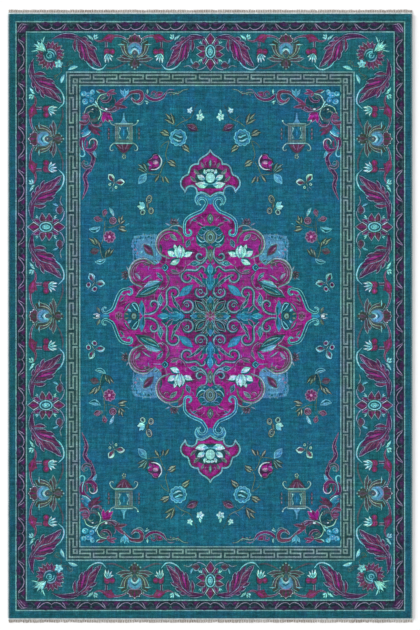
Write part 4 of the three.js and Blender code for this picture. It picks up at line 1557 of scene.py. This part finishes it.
# ---------------------------------------------------------------- from chart to triangles
def inside(outline, x, y):
    """Which of the points lie inside the outline, which may cross itself."""
    ring = np.asarray(outline)
    x0, y0 = ring[:, 0][:, None], ring[:, 1][:, None]
    x1, y1 = np.roll(x0, -1, 0), np.roll(y0, -1, 0)
    turns = np.zeros(len(x), int)
    batch = 20000        # points looked at together, to spare memory
    for a in range(0, len(x), batch):
        px, py = x[a:a + batch], y[a:a + batch]
        side = (x1 - x0) * (py - y0) - (px - x0) * (y1 - y0)
        up = (y0 <= py) & (y1 > py) & (side > 0)
        down = (y0 > py) & (y1 <= py) & (side < 0)
        turns[a:a + batch] = up.sum(0) - down.sum(0)
    return turns != 0


def painted(x, y):
    """The yarn that shows at each point: that of the last outline around it."""
    order = np.argsort(x)
    sx, sy = x[order], y[order]
    found = np.zeros(len(x), int)
    names = list(YARN)
    for yarn, outline in layers:
        ring = np.asarray(outline)
        low, high = ring.min(0), ring.max(0)
        a, b = np.searchsorted(sx, (low[0], high[0]))
        near = np.arange(a, b)
        near = near[(sy[a:b] >= low[1]) & (sy[a:b] <= high[1])]
        if len(near):
            found[near[inside(outline, sx[near], sy[near])]] = names.index(yarn)
    yarns = np.zeros(len(x), int)
    yarns[order] = found
    return yarns


def triangulated(points, edges, blur):
    """Corners and triangles that keep the edges; corners nearer than blur become one."""
    made = delaunay_2d_cdt([tuple(p) for p in points], edges, [], 0, blur)
    return np.array([tuple(v) for v in made[0]]), np.array(made[2])


def colour_seams(tris, yarns):
    """The edges where two yarns meet, and those on the rim."""
    pairs = np.sort(np.concatenate([tris[:, (0, 1)], tris[:, (1, 2)], tris[:, (2, 0)]]), 1)
    owner = np.tile(np.arange(len(tris)), 3)
    order = np.lexsort((pairs[:, 1], pairs[:, 0]))
    pairs, owner = pairs[order], owner[order]
    first = np.flatnonzero((pairs[1:] == pairs[:-1]).all(1))
    differ = yarns[owner[first]] != yarns[owner[first + 1]]
    alone = np.ones(len(pairs), bool)
    alone[first] = False
    alone[first + 1] = False
    return np.concatenate([pairs[first[differ]], pairs[alone]])


def straightened(verts, seams, least):
    """Joins seam edges that run on in nearly one line."""
    ends = {}
    for a, b in seams.tolist():
        ends.setdefault(a, set()).add(b)
        ends.setdefault(b, set()).add(a)
    for v in list(ends):
        if len(ends[v]) != 2:
            continue
        a, b = sorted(ends[v])
        if b in ends[a]:
            continue
        (ax, ay), (bx, by), (vx, vy) = verts[a], verts[b], verts[v]
        length = math.hypot(bx - ax, by - ay)
        off = abs((bx - ax) * (vy - ay) - (by - ay) * (vx - ax)) / max(length, 1e-9)
        along = (vx - ax) * (bx - ax) + (vy - ay) * (by - ay)
        if off < least and 0 < along < length**2:
            ends[a].remove(v)
            ends[b].remove(v)
            ends[a].add(b)
            ends[b].add(a)
            del ends[v]
    return sorted((a, b) for a in ends for b in ends[a] if a < b)


def filled(verts, tris):
    """The triangles within the quarter, and the yarn of each."""
    middle = verts[tris].mean(1)
    within = ((middle > 0) & (middle < (HALF_X, HALF_Y))).all(1)
    return tris[within], painted(*middle[within].T)


def quarter_map():
    """Corners, triangles and yarns of the quarter with x and y above zero."""
    points = [(0, 0), (HALF_X, 0), (HALF_X, HALF_Y), (0, HALF_Y)]
    edges = [(0, 1), (1, 2), (2, 3), (3, 0)]
    for _, outline in layers:
        ring = np.asarray(outline)
        if (ring.max(0) > 0).all() and (ring.min(0) < (HALF_X, HALF_Y)).all():
            start, count = len(points), len(outline)
            points += outline
            edges += [(start + i, start + (i + 1) % count) for i in range(count)]
    verts, tris = triangulated(points, edges, MEET)
    seams = straightened(verts, colour_seams(*filled(verts, tris)), SMOOTHING)
    used = sorted({v for seam in seams for v in seam})
    place = {v: i for i, v in enumerate(used)}
    verts, tris = triangulated(verts[used], [(place[a], place[b]) for a, b in seams], NEAR)
    return verts, *filled(verts, tris)


def whole_map():
    """The quarter's map mirrored into the whole rug, with the mirror lines welded."""
    verts, tris, yarns = quarter_map()
    for axis in (0, 1):
        verts[np.abs(verts[:, axis]) < 2 * MEET, axis] = 0.0
    spots, faces = [], []
    for sx, sy in ((1, 1), (-1, 1), (-1, -1), (1, -1)):
        spots.append(verts * (sx, sy))
        turn = tris if sx * sy > 0 else tris[:, ::-1]
        faces.append(turn + len(faces) * len(verts))
    spots, faces = np.concatenate(spots), np.concatenate(faces)
    keys = np.round(spots * 1000).astype(np.int64)       # thousandths of a millimetre
    _, first, where = np.unique(keys, axis=0, return_index=True, return_inverse=True)
    faces = where.reshape(-1)[faces]
    spots = spots[first]
    # slivers that collapsed on a mirror line, with nothing to show, are left out
    sound = (faces != faces[:, (1, 2, 0)]).all(1) & ~(spots[faces] == 0).all(1).any(1)
    return spots, faces[sound], np.tile(yarns, 4)[sound]


def rim_loop(faces):
    """The corners round the map's rim, in order, anticlockwise."""
    follow = {}
    pairs = np.concatenate([faces[:, (0, 1)], faces[:, (1, 2)], faces[:, (2, 0)]])
    known = set(map(tuple, pairs.tolist()))
    for a, b in known:
        if (b, a) not in known:
            follow[a] = b
    loop = [min(follow)]
    while follow[loop[-1]] != loop[0]:
        loop.append(follow[loop[-1]])
    return loop


def new_object(name, verts, faces, material, smooth=True):
    mesh = bpy.data.meshes.new(name)
    mesh.from_pydata(verts, [], faces)
    mesh.polygons.foreach_set("use_smooth", [smooth] * len(faces))
    mesh.materials.append(material)
    mesh.update()
    thing = bpy.data.objects.new(name, mesh)
    SCENE.collection.objects.link(thing)
    return thing


def build_cloth(material, backing):
    """One closed sheet: the woven map on top, rounded sides and a plain woven underside."""
    spots, faces, yarns = whole_map()
    top = frame_top
    loop = rim_loop(faces)
    outwards = np.sign(spots[loop]) * (np.abs(spots[loop]) > (HALF_X - NEAR, HALF_Y - NEAR))
    verts = [(x * MM, y * MM, top * MM) for x, y in spots]
    for v, (x, y) in zip(loop, spots[loop] - outwards * LEAN):
        verts[v] = (x * MM, y * MM, top * MM)
    faces = faces.tolist()
    # the sides are widest from 1.2 above the floor to 1.4 below the top
    rows = [loop]
    for inset, z in ((0, top - 1.4), (0, 1.2), (LEAN, 0)):
        rows.append(list(range(len(verts), len(verts) + len(loop))))
        verts += [(x * MM, y * MM, z * MM) for x, y in spots[loop] - outwards * inset]
    count, plain = len(loop), len(faces)
    for upper, lower in zip(rows, rows[1:]):
        for i in range(count):
            j = (i + 1) % count
            faces.append((upper[j], upper[i], lower[i], lower[j]))
    flat = [(verts[v][0] / MM, verts[v][1] / MM) for v in rows[-1]]
    ring = [(i, (i + 1) % count) for i in range(count)]
    _, tris = triangulated(flat, ring, 0.0)
    faces += [tuple(rows[-1][i] for i in t[::-1]) for t in tris]
    cloth = new_object("rug_pile", verts, faces, material, smooth=False)
    mesh = cloth.data
    mesh.materials.append(backing)
    shown = plain + 2 * count        # the top and the two upper rows of the sides
    slots = [0] * shown + [1] * (len(faces) - shown)
    mesh.polygons.foreach_set("material_index", slots)
    colours = np.array([linear(c) for c in YARN.values()])
    edge = list(YARN).index("petrol")
    yarn_of = np.concatenate([yarns, np.full(len(faces) - plain, edge)])
    corners = np.repeat(yarn_of, [len(f) for f in faces])
    rgba = np.concatenate([colours[corners], np.ones((len(corners), 1))], 1)
    layer = mesh.color_attributes.new("yarn", "FLOAT_COLOR", "CORNER")
    layer.data.foreach_set("color", rgba.astype(np.float32).ravel())
    spread_map(mesh, shown)
    print("rug_pile", len(faces), "faces,", plain, "on top")
    return cloth


def spread_map(mesh, shown):
    """A flat map: the top fills nearly all of it, the underside one corner."""
    layer = mesh.uv_layers.new(name="OFBake")
    loops = np.empty(len(mesh.loops), np.int32)
    mesh.loops.foreach_get("vertex_index", loops)
    places = np.empty(len(mesh.vertices) * 3, np.float32)
    mesh.vertices.foreach_get("co", places)
    flat = places.reshape(-1, 3)[loops][:, :2]
    reach = np.abs(flat).max(0)
    spread, corner = 0.495, 0.002        # half the top's size in the map, and the underside's place
    uv = 0.5 + flat / reach * spread
    hidden = mesh.polygons[shown].loop_start
    uv[hidden:] = corner + (0.5 + flat[hidden:] / reach * 0.5) * corner
    layer.data.foreach_set("uv", uv.astype(np.float32).ravel())


def linear(colour):
    """An 8-bit screen colour as linear light."""
    return [c / 12.92 if c <= 0.04045 else ((c + 0.055) / 1.055)**2.4
            for c in (v / 255 for v in colour)]


# ---------------------------------------------------------------- thread
class Thread:
    """Collects tubes of thread into one mesh."""

    def __init__(self):
        self.verts = []
        self.faces = []

    def tube(self, path, radii, sides=5, flatten=1.0):
        """A closed tube along the path, flatter in height than in width where flatten is below 1."""
        rings = []
        for i, p in enumerate(path):
            a, b = path[max(i - 1, 0)], path[min(i + 1, len(path) - 1)]
            dx, dy, dz = (b[k] - a[k] for k in range(3))
            size = math.sqrt(dx * dx + dy * dy + dz * dz) or 1.0
            dx, dy, dz = dx / size, dy / size, dz / size
            level = math.hypot(dx, dy)
            if level > 0.05:
                side = (-dy / level, dx / level, 0.0)
            else:
                side = (1.0, 0.0, 0.0)
            up = (side[1] * dz - side[2] * dy, side[2] * dx - side[0] * dz,
                  side[0] * dy - side[1] * dx)
            ring = []
            for k in range(sides):
                turn = 2 * math.pi * (k + 0.5) / sides
                u, v = radii[i] * math.cos(turn), radii[i] * math.sin(turn) * flatten
                ring.append(len(self.verts))
                self.verts.append(tuple((p[j] + side[j] * u + up[j] * v) * MM for j in range(3)))
            rings.append(ring)
        for low, high in zip(rings, rings[1:]):
            for k in range(sides):
                n = (k + 1) % sides
                self.faces.append((low[k], high[k], high[n], low[n]))
        self.faces.append(tuple(rings[0]))
        self.faces.append(tuple(reversed(rings[-1])))

    def made(self, name, material):
        thing = new_object(name, self.verts, self.faces, material)
        mesh = thing.data
        bm = bmesh.new()
        bm.from_mesh(mesh)
        bmesh.ops.recalc_face_normals(bm, faces=bm.faces)
        bm.to_mesh(mesh)
        bm.free()
        return thing


def build_binding(name, node, side, material):
    """The overcast edge: one thick thread wound round a core, each turn beside the last."""
    low, high = (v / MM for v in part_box(node))
    centre, half = (low[0] + high[0]) / 2, (high[0] - low[0]) / 2
    top, length = high[2], high[1] - low[1]
    rng = random.Random(11 if side > 0 else 12)
    thread = Thread()
    # the core, which ends inside the wrapping
    steps, margin, core_radius = 60, 1.0, half - 1.1
    core = [(centre, low[1] + margin + (length - 2 * margin) * i / steps, top * 0.46)
            for i in range(steps + 1)]
    thread.tube(core, [core_radius] * len(core), sides=10, flatten=top * 0.40 / core_radius)
    # each turn goes over the core, from under its outer side to under its inner side
    turns = int(length / WRAP_PITCH)
    pitch = length / turns
    start, sweep, points = -28, 236, 8         # degrees, degrees and corners of the thread's middle line
    middle, lowest = top * 0.47, 1.25
    for i in range(turns):
        y = low[1] + pitch * (i + 0.5)
        lean = 1.5 + rng.uniform(-0.35, 0.35)
        lift = rng.uniform(-0.12, 0.12)
        radius = pitch * 0.54 * (1 + rng.uniform(-0.08, 0.08))
        path = []
        for k in range(points):
            turn = math.radians(start + sweep * k / (points - 1))
            x = centre + side * (half - 1.3) * math.cos(turn)
            z = middle + (middle - 0.7 + lift) * math.sin(turn)
            path.append((x, y + lean * (k / (points - 1) - 0.5), max(z, lowest)))
        thin = radius * 0.9
        thread.tube(path, [thin] + [radius] * (points - 2) + [thin], sides=6, flatten=0.62)
    return thread.made(name, material)


def build_fringe(name, node, end, material):
    """The woven header with its stitches, and the tassels of loosely plied warp ends."""
    low, high = (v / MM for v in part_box(node))
    inner = low[1] if end > 0 else -high[1]
    width, reach = high[0] - low[0], high[1] - low[1]
    rng = random.Random(21 if end > 0 else 22)
    thread = Thread()

    def at(x, y, z):
        return (x, end * (inner + y), z)

    # the header: three cords side by side under the stitches
    steps, margin = 120, 0.8
    for row, (y, r) in enumerate(((1.2, 1.15), (3.0, 1.2), (4.8, 1.1))):
        path = [at(-width / 2 + margin + (width - 2 * margin) * i / steps,
                   y + 0.12 * math.sin(i * 2.1 + row), r + 0.05) for i in range(steps + 1)]
        thread.tube(path, [r] * len(path), sides=6)
    # the stitches, over the header from the cloth to the tassels
    stitches = int(width / STITCH_PITCH)
    for i in range(stitches):
        x = -width / 2 + (i + 0.5) * width / stitches
        lean = 1.0 + rng.uniform(-0.3, 0.3)
        path = [at(x - lean, 0.2, 1.0), at(x - lean * 0.5, 1.4, 2.3), at(x, 3.0, 2.55),
                at(x + lean * 0.5, 4.8, 2.2), at(x + lean, HEADER + 0.3, 0.9)]
        thread.tube(path, [0.6, 0.75, 0.8, 0.75, 0.6], sides=4, flatten=0.7)
    # the tassels: wave makes neighbours lean and end alike, and no strand passes the longest
    pitch, longest = width / TASSELS, reach - HEADER - 0.2
    for i in range(TASSELS):
        x = -width / 2 + (i + 0.5) * pitch
        wave = 0.6 * math.sin(i * 1.93 + 1) + 0.4 * math.sin(i * 0.61 + 2)
        long = min(longest + 1.5 * wave + rng.uniform(-2.4, 1.6), longest)
        lean = 1.8 * wave + rng.uniform(-1.4, 1.4)
        root, tip = pitch * 0.42, pitch * (0.30 + rng.uniform(0, 0.16))
        for s in range(STRANDS):
            across = (s / (STRANDS - 1) - 0.5) * 2     # -1 to 1 over the tassel's width
            upper = s % 2                              # every second strand lies higher
            path = []
            ply = rng.uniform(0, 6.28)
            short = long * (1 - rng.uniform(0, 0.16))
            splay = rng.uniform(-0.6, 0.6)
            for k, radius in enumerate(TAPER):
                t = k / (len(TAPER) - 1)
                spread = root * (1 - t) + tip * t - 0.9 * math.sin(math.pi * t)
                wind = 0.35 * math.sin(ply + t * PLY)
                px = x + across * spread + lean * t * t + wind + splay * t**3
                pz = (0.75 + upper * 0.75) * (1 - 0.35 * t) + 0.15 * math.cos(ply + t * PLY)
                path.append(at(px, HEADER - 0.6 + (short + 0.6) * t, max(pz, radius)))
            thread.tube(path, TAPER, sides=5)
    return thread.made(name, material)


# ---------------------------------------------------------------- materials
class Look:
    """A node material, with short calls for the nodes that all the yarns share."""

    def __init__(self, name, roughness, sheen=0.0):
        self.material = bpy.data.materials.new(name)
        self.material.use_nodes = True
        self.tree = self.material.node_tree
        self.shader = self.tree.nodes["Principled BSDF"]
        self.feed(self.shader, {"Roughness": roughness, "Specular IOR Level": 0.06, "Sheen Weight": sheen,
                                "Sheen Roughness": 0.5, "Sheen Tint": (1, 1, 1, 1)})
        self.space = self.tree.nodes.new("ShaderNodeTexCoord").outputs["Object"]

    def feed(self, node, inputs):
        """Sets each input to its value, or links it to the output given."""
        for name, value in inputs.items():
            if isinstance(value, bpy.types.NodeSocket):
                self.tree.links.new(value, node.inputs[name])
            else:
                node.inputs[name].default_value = value

    def node(self, kind, output, inputs, **settings):
        """Adds a node and returns the output of that name or number."""
        made = self.tree.nodes.new("ShaderNode" + kind)
        for key, value in settings.items():
            setattr(made, key, value)
        self.feed(made, inputs)
        return made.outputs[output]

    def stretched(self, per_metre):
        """The object's coordinates, scaled separately along each axis."""
        return self.node("Mapping", "Vector", {"Vector": self.space, "Scale": per_metre})

    def noise(self, per_metre, detail=2.0, rough=0.5):
        return self.node("TexNoise", "Fac", {"Vector": self.stretched(per_metre), "Scale": 1.0,
                                             "Detail": detail, "Roughness": rough})

    def cells(self, per_metre):
        return self.node("TexVoronoi", "Color", {"Vector": self.stretched(per_metre), "Scale": 1.0})

    def waves(self, per_metre, twist=0.0, axis="Y"):
        return self.node("TexWave", "Fac", {"Vector": self.stretched(per_metre), "Scale": 1.0,
                                            "Distortion": twist, "Detail": 1.0}, bands_direction=axis)

    def ranged(self, value, low, high, start=0.0, stop=1.0):
        """The value, taken from start..stop to low..high."""
        return self.node("MapRange", "Result", {"Value": value, "From Min": start, "From Max": stop,
                                                "To Min": low, "To Max": high})

    def maths(self, what, a, b):
        return self.node("Math", 0, {0: a, 1: b}, operation=what)

    def mixed(self, how, a, b, share=1.0):
        """The two colours blended; 6, 7 and 2 are the sockets for colours."""
        return self.node("Mix", 2, {"Factor": share, 6: a, 7: b}, data_type="RGBA", blend_type=how)

    def toned(self, colour, value):
        """The colour made lighter or darker by a value round 1."""
        return self.node("VectorMath", 0, {0: colour, "Scale": value}, operation="SCALE")

    def coloured(self, colour):
        self.feed(self.shader, {"Base Color": colour})

    def bumped(self, height, strength, distance):
        """Bump of this height, with its distance in metres."""
        bump = self.node("Bump", "Normal", {"Height": height, "Strength": strength, "Distance": distance})
        self.feed(self.shader, {"Normal": bump})


def chenille():
    """Soft pile in the yarns of the chart, with the uneven dye and cross-hatched weave it shows."""
    look = Look("chenille_yarn", 0.95, sheen=0.03)
    yarn = look.node("Attribute", "Color", {}, attribute_name="yarn")
    # dye lots: greener in places, bluer in others, in broad drifts and in small flecks
    drift = look.ranged(look.noise((1.1, 1.1, 1.1), 2.0), 0.1, 0.6, 0.35, 0.65)
    for scale, reach in (((9, 9, 1), 0.26), ((27, 27, 1), 0.34), ((24, 1.6, 1), 0.34),
                         ((1.6, 20, 1), 0.26)):
        fleck = look.ranged(look.noise(scale, 1.0), -reach, reach, 0.25, 0.75)
        drift = look.maths("ADD", drift, fleck)
    green = look.mixed("MULTIPLY", yarn, (0.72, 0.95, 0.80, 1))
    blue = look.mixed("MULTIPLY", yarn, (0.86, 0.83, 0.97, 1))
    colour = look.mixed("MIX", green, blue, drift)
    # the loom's cross-hatch: rows and columns that took the dye differently
    value = look.ranged(look.noise((2.5, 70, 1), 3.0, 0.6), 0.80, 1.20, 0.3, 0.7)
    for scale, reach, detail in (((70, 2.5, 1), 0.17, 3.0), ((16, 16, 1), 0.14, 2.0),
                                 ((50, 50, 1), 0.16, 1.0), ((150, 110, 1), 0.20, 1.0),
                                 ((14, 190, 1), 0.17, 1.0), ((190, 14, 1), 0.15, 1.0),
                                 ((380, 240, 1), 0.34, 1.0)):
        layer = look.ranged(look.noise(scale, detail, 0.6), 1 - reach, 1 + reach, 0.3, 0.7)
        value = look.maths("MULTIPLY", value, layer)
    # the tufts, each a shade of its own
    shade = look.node("SeparateColor", 0, {0: look.cells((420, 300, 300))})
    value = look.maths("MULTIPLY", value, look.ranged(shade, 0.86, 1.14))
    colour = look.toned(colour, value)
    # rubbed rows, where the pile shows paler
    rubbed = look.ranged(look.noise((22, 90, 1), 3.0, 0.7), 0.0, 0.16, 0.5, 0.72)
    look.coloured(look.mixed("MIX", colour, (0.10, 0.27, 0.33, 1), rubbed))
    pile = look.maths("ADD", look.noise((500, 320, 300), 2.0), look.waves((60, 420, 1), 3.0))
    look.bumped(pile, 0.35, 0.0012)
    return look.material


def backing():
    """The plain ground weave of the underside."""
    look = Look("backing_weave", 0.95, sheen=0.05)
    weft, warp = look.waves((0, 1900, 0), 0.6, "Y"), look.waves((1500, 0, 0), 0.6, "X")
    weave = look.maths("MULTIPLY", weft, warp)
    base = look.mixed("MIX", (0.36, 0.30, 0.22, 1), (0.56, 0.50, 0.40, 1), weave)
    mottled = look.ranged(look.noise((60, 60, 60), 3.0), 0.85, 1.12, 0.3, 0.7)
    look.coloured(look.toned(base, mottled))
    look.bumped(weave, 0.5, 0.0008)
    return look.material


def binding_thread():
    look = Look("binding_thread", 0.85, sheen=0.1)
    fibre = look.ranged(look.noise((900, 260, 900), 3.0), 0.75, 1.2, 0.3, 0.7)
    drift = look.ranged(look.noise((3, 9, 3), 2.0), 0.85, 1.15, 0.3, 0.7)
    base = look.mixed("MIX", (*linear((58, 98, 108)), 1), (*linear((112, 144, 148)), 1),
                      look.noise((40, 120, 40), 2.0))
    look.coloured(look.toned(base, look.maths("MULTIPLY", fibre, drift)))
    look.bumped(look.noise((1600, 500, 1600), 2.0), 0.4, 0.0006)
    return look.material


def fringe_yarn():
    look = Look("fringe_cotton", 0.9, sheen=0.1)
    fibre = look.ranged(look.noise((900, 200, 900), 3.0), 0.66, 1.12, 0.3, 0.7)
    tangle = look.ranged(look.noise((90, 60, 90), 2.0), 0.8, 1.1, 0.35, 0.65)
    base = look.mixed("MIX", (*linear((178, 168, 158)), 1), (*linear((204, 200, 194)), 1),
                      look.ranged(look.noise((6, 6, 6), 2.0), 0.0, 1.0, 0.35, 0.65))
    # the header took up a little of the rug's dye
    along = look.maths("ABSOLUTE", look.node("SeparateXYZ", "Y", {0: look.space}), 0.0)
    base = look.mixed("MIX", (*linear((236, 250, 252)), 1), base,
                      look.ranged(along, 0.0, 1.0, 1.5, 1.504))
    look.coloured(look.toned(base, look.maths("MULTIPLY", fibre, tangle)))
    look.bumped(look.noise((2000, 400, 2000), 2.0), 0.4, 0.0005)
    return look.material


def floor_paint():
    look = Look("pale_floor", 0.9)
    base = look.mixed("MIX", (0.93, 0.93, 0.93, 1), (0.95, 0.95, 0.95, 1),
                      look.noise((2, 2, 2), 2.0))
    look.coloured(base)
    return look.material


# ---------------------------------------------------------------- the studio
def add_floor():
    floor = new_object("floor", [(-60, -60, 0), (60, -60, 0), (60, 60, 0), (-60, 60, 0)],
                       [(0, 1, 2, 3)], floor_paint(), smooth=False)
    floor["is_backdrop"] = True
    return floor


def add_light(name, place, strength, spread):
    """A soft light far off in the direction of place; spread is its size in degrees."""
    data = bpy.data.lights.new(name, "SUN")
    data.energy = strength
    data.angle = math.radians(spread)
    light = bpy.data.objects.new(name, data)
    SCENE.collection.objects.link(light)
    light.location = place
    light.rotation_euler = (-Vector(place)).to_track_quat("-Z", "Y").to_euler()


def add_studio():
    """A bright pale room, a low soft light that rakes from the left and a higher one opposite."""
    SCENE.view_settings.view_transform = "Standard"
    world = bpy.data.worlds.new("studio")
    SCENE.world = world
    world.use_nodes = True
    sky = world.node_tree.nodes["Background"]
    sky.inputs["Color"].default_value = (1, 1, 1, 1)
    sky.inputs["Strength"].default_value = SKY
    add_light("raking", (-9.0, 4.0, 2.3), RAKING, 16)
    add_light("filling", (7.0, -3.0, 4.4), FILLING, 14)


# ---------------------------------------------------------------- the rug
low, high = (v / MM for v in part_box("rug_cloth"))
HALF_X, HALF_Y, frame_top = high[0], high[1], high[2]

draw_chart()
rug = build_cloth(chenille(), backing())
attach(rug, "root")
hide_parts("rug_cloth")

thread_look = binding_thread()
for name, node, side in (("binding_left", "edge_cord_left", -1),
                         ("binding_right", "edge_cord_right", 1)):
    piece = build_binding(name, node, side, thread_look)
    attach(piece, "root")
    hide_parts(node)

cotton = fringe_yarn()
for name, node, end in (("tassels_far", "fringe_far", 1), ("tassels_near", "fringe_near", -1)):
    piece = build_fringe(name, node, end, cotton)
    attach(piece, "root")
    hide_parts(node)

add_floor()
add_studio()

low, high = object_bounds()
